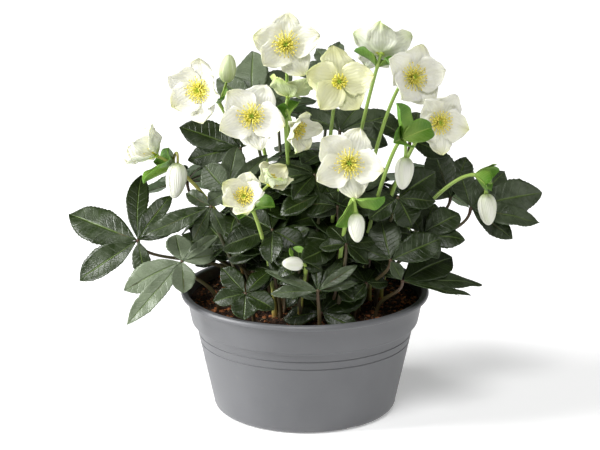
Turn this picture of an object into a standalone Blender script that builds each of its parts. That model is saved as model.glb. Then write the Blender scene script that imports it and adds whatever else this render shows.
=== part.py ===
"""Potted hellebore: a grey nursery bowl of compost with young hellebore plants in flower.

Metres, +Z up.  The origin is the centre of the pot's base, and the front faces -Y.
Every leaf, flower stalk, flower and bud is a body of its own, beside the pot and its compost.
"""
import math

import bmesh
import bpy
from mathutils import Matrix, Vector
from mathutils.bvhtree import BVHTree

# ---- pot ------------------------------------------------------------------------------
POT_HEIGHT = 0.123
RIM_RADIUS = 0.125          # outer edge of the lip
LIP_OVERHANG = 0.0055       # how far the lip stands out from the collar
LIP_HEIGHT = 0.0048
COLLAR_HEIGHT = 0.026       # from under the lip down to the step
COLLAR_TAPER = 0.005        # the collar narrows this much on the way down
STEP_DEPTH = 0.0045         # the wall stands this far inside the collar
STEP_HEIGHT = 0.003
BASE_RADIUS = 0.0925
WALL = 0.0022
FLOOR = 0.0040
BASE_ROUND = 0.0085         # rounding between wall and underside
GROOVE_COUNT = 2
GROOVE_PITCH = 0.0085
GROOVE_DEPTH = 0.0007
GROOVE_HEIGHT = 0.0016
CHANNEL_COUNT = 3           # drainage channels under the base
CHANNEL_TURN = -58          # degrees from +X round to the first channel
CHANNEL_WIDTH = 0.013
CHANNEL_DEPTH = 0.0020
CHANNEL_START = 0.045       # radius where each channel begins
DRAIN_HOLE_RADIUS = 0.0035
DRAIN_HOLE_RING = 0.062     # radius of the ring of holes
POT_SEGMENTS = 44

# ---- compost --------------------------------------------------------------------------
COMPOST_RECESS = 0.012      # below the rim, at the pot's wall
COMPOST_CROWN = 0.006       # how much higher the middle is
GAP = 0.0003                # between bodies that rest against each other

# ---- leaves ---------------------------------------------------------------------------
LEAF_THICKNESS = 0.0011
LEAF_FOLD = 0.16            # rise of a leaflet's edges over its midrib, per half width
LEAF_DROOP = 24             # degrees that a leaflet bends over along its length
PETIOLE_RADIUS = 0.0017
HUB_RADIUS = 0.0024         # where the leaflets meet
HUB_DEPTH = 0.0022
LEAFLET_SHAPE = ((0.07, 0.14), (0.30, 0.66), (0.55, 1.0), (0.78, 0.90), (0.93, 0.46))

# ---- flowers --------------------------------------------------------------------------
STALK_RADIUS = 0.0022
FORK_RADIUS = 0.0015
FOOT_SPREAD = 1.3           # a stalk or petiole is this much thicker at the compost
STALK_SIDES = 6
STALK_NODE = 0.0034         # length of the swelling that carries the bracts
BRACT_LENGTH = 0.024
BRACT_WIDTH = 0.013
BRACT_DROOP = 16            # degrees, as for a leaflet
SEPAL_COUNT = 5
SEPAL_LENGTH = 0.033
SEPAL_WIDTH = 0.029
SEPAL_THICKNESS = 0.0009
SEPAL_CURL = 16             # degrees that a sepal bends back along its length
SEPAL_FOLD = 0.10
BOSS_RADIUS = 0.0082        # the bunch of stamens round the carpels
BOSS_RINGS = ((0.0078, 1.0), (0.0104, 0.7))
RECEPTACLE_RADIUS = 0.0027
RECEPTACLE_LENGTH = 0.0028
SEPAL_SHAPE = ((0.14, 0.42), (0.45, 0.92), (0.74, 1.0), (0.93, 0.58))
BUD_SUBDIVISIONS = 2
BUD_LENGTH = 0.030
BUD_RADIUS = 0.0090
BUD_TAPER = 0.22            # the egg narrows towards its tip

# ---- how neighbours keep clear of each other --------------------------------------------
CLEARANCE = 0.0004
TURN_STEP, TURN_STEPS = 2, 22       # degrees, and how many steps either way
LEAN_STEP, LEAN_STEPS = 0.04, 6     # metres outwards for each metre of height

UP = Vector((0, 0, 1))

COLOURS = {
    "pot": ((0.235, 0.240, 0.255), 0.42),
    "compost": ((0.045, 0.022, 0.012), 0.95),
    "leaf": ((0.040, 0.075, 0.040), 0.45),
    "pale_leaf": ((0.190, 0.250, 0.215), 0.55),
    "stalk": ((0.270, 0.400, 0.090), 0.50),
    "flower": ((0.830, 0.820, 0.700), 0.55),
    "bud": ((0.820, 0.820, 0.690), 0.50),
}

# Each leaf: name, root on the compost (x, y), hub (x, y, height above the pot's rim), the way
# its face looks, and its leaflets as (clock angle from upright, length, width), in degrees
# and millimetres.
LEAVES = (
    ("leaf_left", (-.055, -.012), (-.166, -.030, .059), (-.15, -.85, .50),
     ((-72, 88, 36), (-126, 74, 29), (-10, 80, 21), (27, 57, 20), (62, 40, 14), (163, 38, 18))),
    ("leaf_left_pale", (-.086, -.036), (-.121, -.058, .046), (.10, -.80, .60),
     ((52, 46, 12), (76, 36, 17), (-8, 31, 25), (-110, 64, 27), (-137, 82, 20), (178, 31, 23))),
    ("leaf_right", (.062, .004), (.166, .000, .084), (.15, -.75, .65),
     ((78, 82, 34), (43, 62, 30), (105, 70, 24), (128, 52, 22), (-4, 46, 24))),
    ("leaf_front_right", (.052, -.052), (.083, -.090, .057), (.00, -.85, .50),
     ((-14, 44, 31), (64, 56, 28), (-68, 44, 15), (150, 20, 12))),
    ("leaf_front_right_low", (.070, -.060), (.092, -.086, .034), (.15, -.60, .75),
     ((66, 74, 34), (92, 92, 20), (112, 70, 9), (-20, 30, 16))),
    ("leaf_front_narrow", (.014, -.098), (.011, -.100, .032), (.00, -.80, .60),
     ((-4, 45, 12), (30, 50, 12), (52, 46, 14), (76, 40, 10), (-66, 56, 11), (-92, 46, 16))),
    ("leaf_front_left_low", (-.050, -.080), (-.058, -.095, .025), (-.10, -.75, .65),
     ((-105, 32, 17), (178, 25, 24), (118, 32, 20), (-46, 36, 20), (36, 34, 18))),
    ("leaf_left_upright", (-.034, -.030), (-.076, -.050, .115), (.00, -.90, .40),
     ((-44, 34, 27), (10, 48, 22), (44, 54, 14), (-120, 22, 16))),
    ("leaf_left_long", (-.062, -.048), (-.092, -.062, .103), (-.10, -.85, .50),
     ((-115, 72, 20), (-152, 38, 14), (-62, 30, 14), (150, 30, 13))),
    ("leaf_left_upper", (-.040, .006), (-.064, -.010, .148), (.00, -.75, .65),
     ((-66, 66, 29), (-98, 54, 24), (-30, 38, 20), (34, 45, 22))),
    ("leaf_top_left", (-.022, .034), (-.053, .042, .180), (.00, -.80, .60),
     ((-2, 62, 33), (44, 54, 28), (-48, 46, 26), (95, 36, 20))),
    ("leaf_right_dark", (.068, .030), (.147, .026, .087), (.05, -.85, .50),
     ((-16, 56, 30), (24, 52, 24), (-62, 44, 24))),
    ("leaf_right_middle", (.070, -.022), (.115, -.050, .072), (.10, -.80, .60),
     ((62, 48, 26), (98, 42, 24), (24, 40, 22), (-26, 36, 20), (150, 28, 18))),
    ("leaf_right_green", (.048, -.030), (.087, -.076, .115), (.00, -.85, .50),
     ((150, 30, 28), (52, 48, 30), (96, 36, 20), (-122, 34, 20))),
    ("leaf_right_upper", (.046, .014), (.105, .020, .149), (.00, -.70, .70),
     ((-52, 46, 24), (14, 42, 26), (62, 46, 26), (112, 40, 24))),
    ("leaf_middle", (.030, -.044), (.039, -.070, .105), (.00, -.70, .70),
     ((78, 46, 24), (34, 38, 22), (-34, 36, 22), (-84, 40, 24), (132, 36, 22))),
    ("leaf_middle_left", (-.020, -.054), (-.036, -.086, .081), (-.05, -.74, .67),
     ((-110, 54, 30), (-64, 42, 24), (-20, 36, 20), (166, 32, 22), (112, 36, 22))),
    ("leaf_middle_low", (.000, -.064), (.002, -.088, .050), (.00, -.65, .75),
     ((-66, 36, 20), (-114, 32, 18), (100, 36, 20), (54, 34, 18))),
    ("leaf_top_right", (.018, .022), (.035, .040, .154), (.00, -.55, .83),
     ((-58, 52, 24), (62, 62, 28), (24, 50, 24), (-22, 48, 24), (104, 50, 24))),
    ("leaf_top_back", (.010, .052), (.024, .080, .211), (.00, -.80, .60),
     ((-38, 24, 14), (20, 28, 15), (-104, 34, 16), (96, 32, 16))),
    ("leaf_back", (.006, .076), (.010, .158, .097), (.00, .62, .78),
     ((0, 56, 28), (48, 58, 28), (-48, 58, 28), (100, 52, 24), (-100, 52, 24))),
    ("leaf_back_upper", (-.016, .058), (-.026, .096, .161), (-.10, .62, .78),
     ((-6, 44, 24), (44, 48, 26), (-54, 46, 26), (98, 46, 24), (-102, 46, 24))),
    ("leaf_back_left", (-.052, .056), (-.124, .130, .077), (-.36, .60, .72),
     ((-4, 60, 30), (46, 60, 28), (-54, 62, 28), (98, 54, 24), (-104, 54, 24))),
    ("leaf_back_right", (.056, .054), (.128, .130, .072), (.36, .60, .72),
     ((2, 58, 30), (50, 62, 28), (-50, 60, 28), (104, 54, 24), (-100, 54, 24))),
)

# Each flower stalk: name, root (x, y), bract angles round the stalk, how far up the bracts sit,
# and its heads as (name, centre with its height above the rim, facing, open angle, size, turn).  A head's open angle is how
# steeply its sepals rise: low is a flat open flower.  An angle of 90 is a closed bud.
STALKS = (
    ("top_left", (-.014, .016), (200,), .84,
     (("flower_top_left", (-.019, .026, .243), (.00, -.88, .42), 22, 1.02, 4),)),
    ("upper_left", (-.040, .024), (40,), .74,
     (("flower_upper_left", (-.102, .000, .205), (-.42, -.86, .14), 34, 1.00, 10),
      ("bud_upper_left", (-.078, .012, .210), (.12, -.10, .98), 90, 0.95, 0))),
    ("left_front", (-.022, -.018), (150,), .70,
     (("flower_left_front", (-.051, -.042, .188), (-.10, -.94, .30), 24, 1.02, 24),)),
    ("centre_yellow", (.016, .000), (30,), .76,
     (("flower_centre_yellow", (.033, -.022, .218), (.05, -.95, .26), 18, 1.00, 0),)),
    ("top_right", (.036, .030), (250, 120), .86,
     (("flower_top_right", (.076, .050, .229), (.12, .84, .46), 30, 1.00, 0),)),
    ("upper_right", (.050, .002), (110, 250), .84,
     (("flower_upper_right", (.104, -.004, .218), (.40, -.86, .30), 30, 1.02, 16),)),
    ("right", (.064, -.014), (80,), .80,
     (("flower_right", (.130, -.022, .178), (.30, -.94, .10), 30, 0.92, 36),)),
    ("front", (.018, -.028), (200,), .62,
     (("flower_front", (.042, -.084, .152), (.00, -.95, .28), 20, 1.05, 24),)),
    ("middle", (-.008, -.010), (330, 150), .80,
     (("flower_middle", (-.017, -.010, .199), (.26, .44, .86), 40, 0.82, 0),
      ("flower_middle_low", (-.012, -.050, .180), (.62, -.66, -.30), 48, 0.78, 0))),
    ("left_low", (-.030, -.062), (330, 60), .74,
     (("flower_left_low", (-.057, -.096, .120), (-.20, -.80, .55), 50, 0.82, 8),
      ("flower_left_low_back", (-.036, -.072, .127), (.50, -.30, .80), 58, 0.70, 0))),
    ("far_left", (-.060, .004), (290, 200, 30), .80,
     (("flower_far_left", (-.146, -.008, .139), (-.78, .20, .55), 56, 0.95, 0),
      ("bud_left", (-.125, -.034, .139), (-.12, -.04, -.99), 90, 1.18, 0))),
    ("right_bud", (.052, -.040), (150, 240, 330), .80,
     (("bud_right", (.097, -.072, .155), (-.10, -.06, -.99), 90, 1.05, 0),)),
    ("front_bud", (.030, -.066), (60, 230), .86,
     (("bud_front", (.048, -.108, .109), (.08, -.20, -.97), 90, 0.92, 0),)),
    ("far_right_bud", (.076, -.004), (170, 250, 330), .80,
     (("bud_far_right", (.179, -.024, .105), (.10, -.08, -.99), 90, 1.05, 0),)),
    ("low_bud", (-.006, -.082), (200,), .70,
     (("bud_low", (-.008, -.102, .056), (-.90, -.30, .22), 90, 0.74, 0),)),
)


def clear_scene():
    for item in list(bpy.data.objects):
        bpy.data.objects.remove(item, do_unlink=True)


def material(name, kind):
    colour, roughness = COLOURS[kind]
    made = bpy.data.materials.new(name)
    made.use_nodes = True
    shader = made.node_tree.nodes["Principled BSDF"]
    shader.inputs["Base Color"].default_value = (*colour, 1.0)
    shader.inputs["Roughness"].default_value = roughness
    shader.inputs["Metallic"].default_value = 0.0
    return made


def face_outwards(bm):
    """Make every face of a closed body look outwards."""
    bmesh.ops.recalc_face_normals(bm, faces=bm.faces[:])
    if bm.calc_volume(signed=True) < 0.0:
        bmesh.ops.reverse_faces(bm, faces=bm.faces[:])


def add_object(name, bm, kind, smooth_angle=35):
    """Close off the work on one body: its normals, its object, its material."""
    face_outwards(bm)
    mesh = bpy.data.meshes.new(name)
    bm.to_mesh(mesh)
    bm.free()
    mesh.shade_smooth()
    mesh.set_sharp_from_angle(angle=math.radians(smooth_angle))
    body = bpy.data.objects.new(name, mesh)
    bpy.context.collection.objects.link(body)
    mesh.materials.append(material(name, kind))
    return body


def turned(profile, segments):
    """Spin a (radius, height) profile round the Z axis into one closed body."""
    bm = bmesh.new()
    points = [bm.verts.new((radius, 0.0, height)) for radius, height in profile]
    edges = [bm.edges.new(pair) for pair in zip(points, points[1:])]
    bmesh.ops.spin(bm, geom=points + edges, cent=(0, 0, 0), axis=(0, 0, 1),
                   angle=2 * math.pi, steps=segments, use_merge=True)
    bmesh.ops.remove_doubles(bm, verts=bm.verts[:], dist=0.00001)
    return bm


def bevel_points(corner_from, corner, corner_to, size, steps=3):
    """Round a profile's corner with a short quadratic curve."""
    start = corner + (corner_from - corner).normalized() * size
    end = corner + (corner_to - corner).normalized() * size
    curve = []
    for step in range(steps + 1):
        share = step / steps
        blend = start.lerp(corner, share).lerp(corner.lerp(end, share), share)
        curve.append((blend.x, blend.y))
    return curve


# ---- pot ------------------------------------------------------------------------------
COLLAR_TOP = POT_HEIGHT - LIP_HEIGHT
COLLAR_TOP_RADIUS = RIM_RADIUS - LIP_OVERHANG
COLLAR_FOOT = COLLAR_TOP - COLLAR_HEIGHT
COLLAR_FOOT_RADIUS = COLLAR_TOP_RADIUS - COLLAR_TAPER
WALL_TOP = COLLAR_FOOT - STEP_HEIGHT
WALL_TOP_RADIUS = COLLAR_FOOT_RADIUS - STEP_DEPTH


def wall_radius(height):
    """Outer radius of the tapered wall below the step."""
    share = (height - BASE_ROUND) / (WALL_TOP - BASE_ROUND)
    return BASE_RADIUS + (WALL_TOP_RADIUS - BASE_RADIUS) * share


def pot_inner_radius(height):
    """Inner radius of the pot, which the compost fills."""
    if height >= COLLAR_FOOT:
        share = (height - COLLAR_FOOT) / COLLAR_HEIGHT
        return COLLAR_FOOT_RADIUS + COLLAR_TAPER * share - WALL
    if height >= WALL_TOP:
        share = (height - WALL_TOP) / STEP_HEIGHT
        return WALL_TOP_RADIUS + STEP_DEPTH * share - WALL
    return wall_radius(height) - WALL


def pot_profile():
    """Outer face from the underside up, over the lip, and down the inside to the floor."""
    below = Vector((CHANNEL_START, 0.0))
    foot = Vector((BASE_RADIUS - BASE_ROUND * 0.2, 0.0))
    side = Vector((wall_radius(BASE_ROUND * 2), BASE_ROUND * 2))
    points = [(0.0, 0.0)]
    points += bevel_points(below, foot, side, BASE_ROUND)
    for groove in range(GROOVE_COUNT, 0, -1):
        middle = WALL_TOP - groove * GROOVE_PITCH
        for offset, depth in ((-1, 0), (-0.35, 1), (0.35, 1), (1, 0)):
            height = middle + offset * GROOVE_HEIGHT / 2
            points.append((wall_radius(height) - depth * GROOVE_DEPTH, height))
    points.append((WALL_TOP_RADIUS, WALL_TOP))
    points.append((COLLAR_FOOT_RADIUS, COLLAR_FOOT))
    points.append((COLLAR_TOP_RADIUS, COLLAR_TOP))
    points.append((RIM_RADIUS - 0.0006, COLLAR_TOP + 0.0003))
    points.append((RIM_RADIUS, COLLAR_TOP + LIP_HEIGHT * 0.35))
    points.append((RIM_RADIUS - 0.0010, COLLAR_TOP + LIP_HEIGHT * 0.78))
    points.append((RIM_RADIUS - 0.0035, POT_HEIGHT))
    points.append((COLLAR_TOP_RADIUS - WALL + 0.0012, POT_HEIGHT - 0.0004))
    points.append((COLLAR_TOP_RADIUS - WALL, COLLAR_TOP + 0.0015))
    for height in (COLLAR_FOOT, WALL_TOP, BASE_ROUND + FLOOR):
        points.append((pot_inner_radius(height), height))
    points.append((BASE_RADIUS - BASE_ROUND * 0.8, FLOOR))
    points.append((0.0, FLOOR))
    return points


def cutter(name, bm):
    mesh = bpy.data.meshes.new(name)
    bm.to_mesh(mesh)
    bm.free()
    tool = bpy.data.objects.new(name, mesh)
    tool.hide_render = True
    tool.display_type = "WIRE"
    bpy.context.collection.objects.link(tool)
    return tool


def make_pot():
    """The bowl, with drainage channels pressed up into its underside and a hole in each."""
    pot = add_object("pot", turned(pot_profile(), POT_SEGMENTS), "pot")
    channels = bmesh.new()
    holes = bmesh.new()
    length = BASE_RADIUS - CHANNEL_START + 0.01
    for index in range(CHANNEL_COUNT):
        turn = math.radians(CHANNEL_TURN + 360 * index / CHANNEL_COUNT)
        around = Matrix.Rotation(turn, 4, "Z")
        place = around @ Matrix.Translation((CHANNEL_START + length / 2, 0, 0))
        size = Matrix.Diagonal((length, CHANNEL_WIDTH, CHANNEL_DEPTH * 2, 1.0))
        bmesh.ops.create_cube(channels, size=1.0, matrix=place @ size)
        drill = around @ Matrix.Translation((DRAIN_HOLE_RING, 0, FLOOR / 2))
        bmesh.ops.create_cone(holes, cap_ends=True, segments=12, radius1=DRAIN_HOLE_RADIUS,
                              radius2=DRAIN_HOLE_RADIUS, depth=FLOOR * 2, matrix=drill)
    for tool in (cutter("channel_cutter", channels), cutter("drain_hole_cutter", holes)):
        cut = pot.modifiers.new(tool.name, "BOOLEAN")
        cut.operation = "DIFFERENCE"
        cut.object = tool
    return pot


# ---- compost --------------------------------------------------------------------------
COMPOST_EDGE = POT_HEIGHT - COMPOST_RECESS
COMPOST_EDGE_RADIUS = pot_inner_radius(COMPOST_EDGE) - GAP


def compost_height(radius):
    """Height of the compost, a low dome that is a cosine from the middle to the wall."""
    share = min(radius / COMPOST_EDGE_RADIUS, 1.0)
    return COMPOST_EDGE + COMPOST_CROWN * 0.5 * (1 + math.cos(math.pi * share))


def make_compost():
    points = [(0.0, FLOOR + GAP)]
    points.append((BASE_RADIUS - BASE_ROUND * 0.8 - GAP, FLOOR + GAP))
    for height in (BASE_ROUND + FLOOR, WALL_TOP, COLLAR_FOOT):
        points.append((pot_inner_radius(height) - 2 * GAP, height))
    points.append((COMPOST_EDGE_RADIUS, COMPOST_EDGE))
    for share in (0.8, 0.6, 0.4, 0.2):
        radius = COMPOST_EDGE_RADIUS * share
        points.append((radius, compost_height(radius)))
    points.append((0.0, compost_height(0.0)))
    return add_object("compost", turned(points, POT_SEGMENTS), "compost")


# ---- growing bodies by extrusion --------------------------------------------------------
def loop_normal(points):
    """The side that a ring of points turns anticlockwise about."""
    total = Vector()
    for first, second in zip(points, points[1:] + points[:1]):
        total += first.cross(second)
    return total


def extend(bm, face, targets):
    """Extrude a face and lay its corners on the target points, with the least twist."""
    first_disc = all(len(edge.link_faces) == 1 for edge in face.edges)
    grown = bmesh.ops.extrude_face_region(bm, geom=[face])["geom"]
    new_face = [item for item in grown if isinstance(item, bmesh.types.BMFace)][0]
    if not first_disc:
        bmesh.ops.delete(bm, geom=[face], context="FACES_ONLY")
    corners = list(new_face.verts)
    count = len(corners)
    middle = sum((corner.co for corner in corners), Vector()) / count
    target_middle = sum(targets, Vector()) / count
    before = [(corner.co - middle).normalized() for corner in corners]
    after = [(target - target_middle).normalized() for target in targets]
    ahead = target_middle - middle
    turns = loop_normal([corner.co for corner in corners]).dot(ahead)
    target_turns = loop_normal(targets).dot(ahead)
    step = 1 if turns * target_turns > 0 else -1
    best = None
    for shift in range(count):
        order = [(shift + step * index) % count for index in range(count)]
        fit = sum(before[index].dot(after[order[index]]) for index in range(count))
        if best is None or fit > best[0] + 1e-9:
            best = (fit, order)
    for corner, index in zip(corners, best[1]):
        corner.co = targets[index]
    return new_face


def start_tube(bm, sides, centre, radius):
    """A level disc where a stalk or petiole stands on the compost."""
    place = Matrix.Translation(centre)
    made = bmesh.ops.create_circle(bm, cap_ends=True, segments=sides, radius=radius, matrix=place)
    return made["verts"][0].link_faces[0]


def cross_axes(direction, reference):
    side = direction.cross(reference)
    if side.length < 1e-4:
        side = direction.cross(Vector((0.3, 1.0, 0.2)))
    side.normalize()
    return side, side.cross(direction).normalized()


def ring_points(centre, side, front, radius, sides):
    points = []
    for index in range(sides):
        angle = 2 * math.pi * index / sides
        points.append(centre + (side * math.cos(angle) + front * math.sin(angle)) * radius)
    return points


def bezier(ends, share):
    start, start_pull, end_pull, end = ends
    rest = 1 - share
    return (start * rest ** 3 + start_pull * 3 * rest ** 2 * share
            + end_pull * 3 * rest * share ** 2 + end * share ** 3)


def bezier_direction(ends, share):
    ahead = bezier(ends, min(share + 0.01, 1.0))
    behind = bezier(ends, max(share - 0.01, 0.0))
    return (ahead - behind).normalized()


def side_face(face, index):
    """The side wall that meets one edge of an end face."""
    corners = list(face.verts)
    first, second = corners[index], corners[(index + 1) % len(corners)]
    edge = [item for item in first.link_edges if item.other_vert(first) is second][0]
    return [item for item in edge.link_faces if item is not face][0]


def grow_blade(bm, face, blade):
    """Grow a folded, drooping blade out of a small quad face, and close it at its tip.

    blade: start, direction, normal, length, width, bend, thickness, fold, shape and limit,
    where limit is the half width that its neighbours leave free at a distance from the start.
    """
    side = blade["direction"].cross(blade["normal"]).normalized()
    bend = math.radians(blade["bend"])
    point = blade["start"].copy()
    travelled = 0.0
    for share, wide in blade["shape"]:
        angle = bend * (share + travelled) / 2
        along = blade["direction"] * math.cos(angle) - blade["normal"] * math.sin(angle)
        point += along * (share - travelled) * blade["length"]
        travelled = share
        tilt = bend * share
        normal = blade["normal"] * math.cos(tilt) + blade["direction"] * math.sin(tilt)
        half = min(blade["width"] / 2 * wide, blade["limit"](share * blade["length"]))
        drop = normal * half * blade["fold"]
        thick = normal * blade["thickness"] / 2
        corners = [point - drop + thick, point + side * half,
                   point - drop - thick, point - side * half]
        face = extend(bm, face, corners)
    along = blade["direction"] * math.cos(bend) - blade["normal"] * math.sin(bend)
    tip = point + along * (1 - travelled) * blade["length"]
    bmesh.ops.pointmerge(bm, verts=list(face.verts), merge_co=tip)


def face_axes(normal, upright):
    """Up and right as seen by someone who looks at the face of a leaf or flower."""
    up = (upright - normal * upright.dot(normal)).normalized()
    return up, up.cross(normal).normalized()


def root_point(root, radius):
    """Where a stalk stands, clear of the domed compost all round its foot."""
    place = Vector((root[0], root[1], 0.0))
    inner = max(place.length - radius, 0.0)
    place.z = compost_height(inner) + GAP
    return place


def leaf_body(row):
    """One leaf: a petiole that ends in a small hub, and its leaflets round the hub."""
    name, root, hub, facing, leaflets = row
    bm = bmesh.new()
    normal = Vector(facing).normalized()
    up, right = face_axes(normal, UP)
    hub = Vector(hub) + UP * POT_HEIGHT
    foot = root_point(root, PETIOLE_RADIUS * FOOT_SPREAD)
    leaflets = sorted(leaflets)
    angles = [leaflet[0] for leaflet in leaflets]
    below = hub - normal * HUB_DEPTH
    free_side = 180 if max(angles) < 150 else -165
    crowded = max(angles) >= 150 and min(angles) < -140
    slots = angles if crowded else sorted(angles + [free_side])
    sides = len(slots)
    rise = (hub - foot).length
    arrive = (normal * 0.55 + up * 0.45).normalized()
    ends = (foot, foot + UP * rise * 0.45, hub - arrive * rise * 0.30, below)
    face = start_tube(bm, sides, foot, PETIOLE_RADIUS * FOOT_SPREAD)
    for share in (0.3, 0.6, 0.88):
        direction = bezier_direction(ends, share)
        side, front = cross_axes(direction, right)
        ring = ring_points(bezier(ends, share), side, front, PETIOLE_RADIUS, sides)
        face = extend(bm, face, ring)
    corners = []
    for index in range(sides):
        step = (slots[(index + 1) % sides] - slots[index]) % 360
        turn = math.radians(slots[index] + step / 2)
        corners.append(up * math.cos(turn) + right * math.sin(turn))
    face = extend(bm, face, [below + corner * HUB_RADIUS for corner in corners])
    face = extend(bm, face, [hub + corner * HUB_RADIUS for corner in corners])
    free = [side_face(face, index) for index in range(sides)]
    for index, (angle, length, width) in enumerate(leaflets):
        turn = math.radians(angle)
        direction = up * math.cos(turn) + right * math.sin(turn)
        slot = slots.index(angle)
        outward = corners[slot - 1] + corners[slot]
        wall = max(free, key=lambda item: (item.calc_center_median() - hub).dot(outward))
        free.remove(wall)
        gap_before = (angle - angles[index - 1]) % 360
        gap_after = (angles[(index + 1) % len(angles)] - angle) % 360
        narrow = math.radians(min(gap_before, gap_after, 120)) / 2
        room = math.tan(narrow) * 0.86
        blade = {
            "start": wall.calc_center_median(),
            "direction": direction,
            "normal": normal,
            "length": length * 0.001,
            "width": width * 0.001,
            "bend": LEAF_DROOP,
            "thickness": LEAF_THICKNESS,
            "fold": LEAF_FOLD,
            "shape": LEAFLET_SHAPE,
            "limit": lambda distance, room=room: (distance + HUB_RADIUS) * room,
        }
        grow_blade(bm, wall, blade)
    return name, bm


def open_head(centre, axis, open_angle, size, turn):
    """Five sepals round a receptacle, with a low boss for the stamens and carpels."""
    bm = bmesh.new()
    up, right = face_axes(axis, UP if abs(axis.z) < 0.95 else Vector((0, 1, 0)))
    radius = RECEPTACLE_RADIUS * size
    depth = RECEPTACLE_LENGTH * size
    rings = []
    for height, width in ((0.0, 0.7), (depth, 1.0)):
        ring = []
        for index in range(SEPAL_COUNT):
            angle = math.radians(turn) + 2 * math.pi * (index + 0.5) / SEPAL_COUNT
            spoke = up * math.cos(angle) + right * math.sin(angle)
            ring.append(centre + axis * height + spoke * radius * width)
        rings.append(ring)
    made = bmesh.ops.create_circle(bm, cap_ends=True, segments=SEPAL_COUNT, radius=radius)
    for corner, place in zip(made["verts"], rings[0]):
        corner.co = place
    face = extend(bm, made["verts"][0].link_faces[0], rings[1])
    walls = [side_face(face, index) for index in range(SEPAL_COUNT)]
    rise = math.radians(open_angle)
    boss = BOSS_RADIUS * size * math.cos(rise)
    spokes = [(point - centre - axis * depth).normalized() for point in rings[1]]
    for height, width in BOSS_RINGS:
        level = centre + axis * height * size
        face = extend(bm, face, [level + spoke * boss * width for spoke in spokes])
    for wall in walls:
        start = wall.calc_center_median()
        spoke = start - centre
        spoke = (spoke - axis * spoke.dot(axis)).normalized()
        direction = spoke * math.cos(rise) + axis * math.sin(rise)
        spread = math.tan(math.pi / SEPAL_COUNT) * 0.90 * math.cos(rise)
        blade = {
            "start": start,
            "direction": direction,
            "normal": axis * math.cos(rise) - spoke * math.sin(rise),
            "length": SEPAL_LENGTH * size,
            "width": SEPAL_WIDTH * size,
            "bend": SEPAL_CURL,
            "thickness": SEPAL_THICKNESS,
            "fold": SEPAL_FOLD,
            "shape": SEPAL_SHAPE,
            "limit": lambda distance, spread=spread: distance * spread + radius * 0.6,
        }
        grow_blade(bm, wall, blade)
    return bm


def bud_head(centre, axis, size):
    """A closed bud: an egg whose blunt end meets its stalk."""
    bm = bmesh.new()
    bmesh.ops.create_icosphere(bm, subdivisions=BUD_SUBDIVISIONS, radius=1.0)
    side, front = cross_axes(axis, UP if abs(axis.z) < 0.9 else Vector((0, 1, 0)))
    for corner in bm.verts:
        local = corner.co.copy()
        taper = 1.0 - BUD_TAPER * local.z
        across = (side * local.x + front * local.y) * BUD_RADIUS * size * taper
        corner.co = centre + axis * (local.z + 1) * BUD_LENGTH * size / 2 + across
    return bm


def stalk_group(row):
    """A flower stalk with its bracts and any fork, and the heads that it carries."""
    name, root, bract_angles, node_share, heads = row
    foot = root_point(root, STALK_RADIUS * FOOT_SPREAD)
    bodies = []
    tops = []
    for head_name, centre, facing, open_angle, size, turn in heads:
        axis = Vector(facing).normalized()
        place = Vector(centre) + UP * POT_HEIGHT
        if open_angle == 90:
            head = bud_head(place, axis, size)
        else:
            head = open_head(place, axis, open_angle, size, turn)
        bodies.append((head_name, head, "bud" if open_angle == 90 else "flower"))
        tops.append((place - axis * GAP, axis))
    bm = bmesh.new()
    top, axis = tops[0]
    rise = (top - foot).length
    pull = rise * (0.16 if axis.z > -0.5 else 0.14)
    neck = UP * pull * (1.9 if axis.z < -0.5 else 0.35)
    ends = (foot, foot + UP * rise * 0.42, top - axis * pull + neck, top)
    node_ring = node_share + STALK_NODE / rise
    face = start_tube(bm, STALK_SIDES, foot, STALK_RADIUS * FOOT_SPREAD)
    node_face = None
    for share in (0.28, 0.55, node_share, node_ring, 0.90, 0.95, 1.0):
        direction = bezier_direction(ends, share)
        if share == 1.0:
            direction = axis
        side, front = cross_axes(direction, Vector((0, 1, 0)))
        slim = STALK_RADIUS * (1.0 - 0.35 * share)
        ring = ring_points(bezier(ends, share), side, front, slim, STALK_SIDES)
        face = extend(bm, face, ring)
        if share == node_ring:
            node_face = [side_face(face, index) for index in range(STALK_SIDES)]
    middle = bezier(ends, node_share)
    direction = bezier_direction(ends, node_share)
    for head_top, head_axis in tops[1:]:
        reach = head_top - middle
        outward = (reach - direction * reach.dot(direction)).normalized()
        wall = max(node_face, key=lambda item: (item.calc_center_median() - middle)
                   .normalized().dot(outward))
        node_face.remove(wall)
        start = wall.calc_center_median()
        span = (head_top - start).length
        lift = UP * span * (0.55 if head_axis.z < -0.2 else 0.10)
        branch = (start, start + (outward + direction * 0.8) * span * 0.3,
                  head_top - head_axis * span * 0.30 + lift, head_top)
        for share in (0.12, 0.4, 0.7, 1.0):
            along = bezier_direction(branch, share) if share < 1.0 else head_axis
            side, front = cross_axes(along, direction)
            ring = ring_points(bezier(branch, share), side, front, FORK_RADIUS, 4)
            wall = extend(bm, wall, ring)
    for angle in bract_angles:
        turn = math.radians(angle)
        wanted = Vector((math.sin(turn), -math.cos(turn), 0.0))
        wall = max(node_face, key=lambda item: (item.calc_center_median() - middle)
                   .normalized().dot(wanted))
        node_face.remove(wall)
        start = wall.calc_center_median()
        outward = start - middle
        outward = (outward - direction * outward.dot(direction)).normalized()
        blade = {
            "start": start,
            "direction": (outward * 0.80 + direction * 0.60).normalized(),
            "normal": (direction * 0.80 - outward * 0.60).normalized(),
            "length": BRACT_LENGTH,
            "width": BRACT_WIDTH,
            "bend": BRACT_DROOP,
            "thickness": SEPAL_THICKNESS,
            "fold": LEAF_FOLD,
            "shape": LEAFLET_SHAPE,
            "limit": lambda distance: 0.0012 + distance * 0.45,
        }
        grow_blade(bm, wall, blade)
    bodies.insert(0, ("stalk_" + name, bm, "stalk"))
    return bodies, foot


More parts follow.
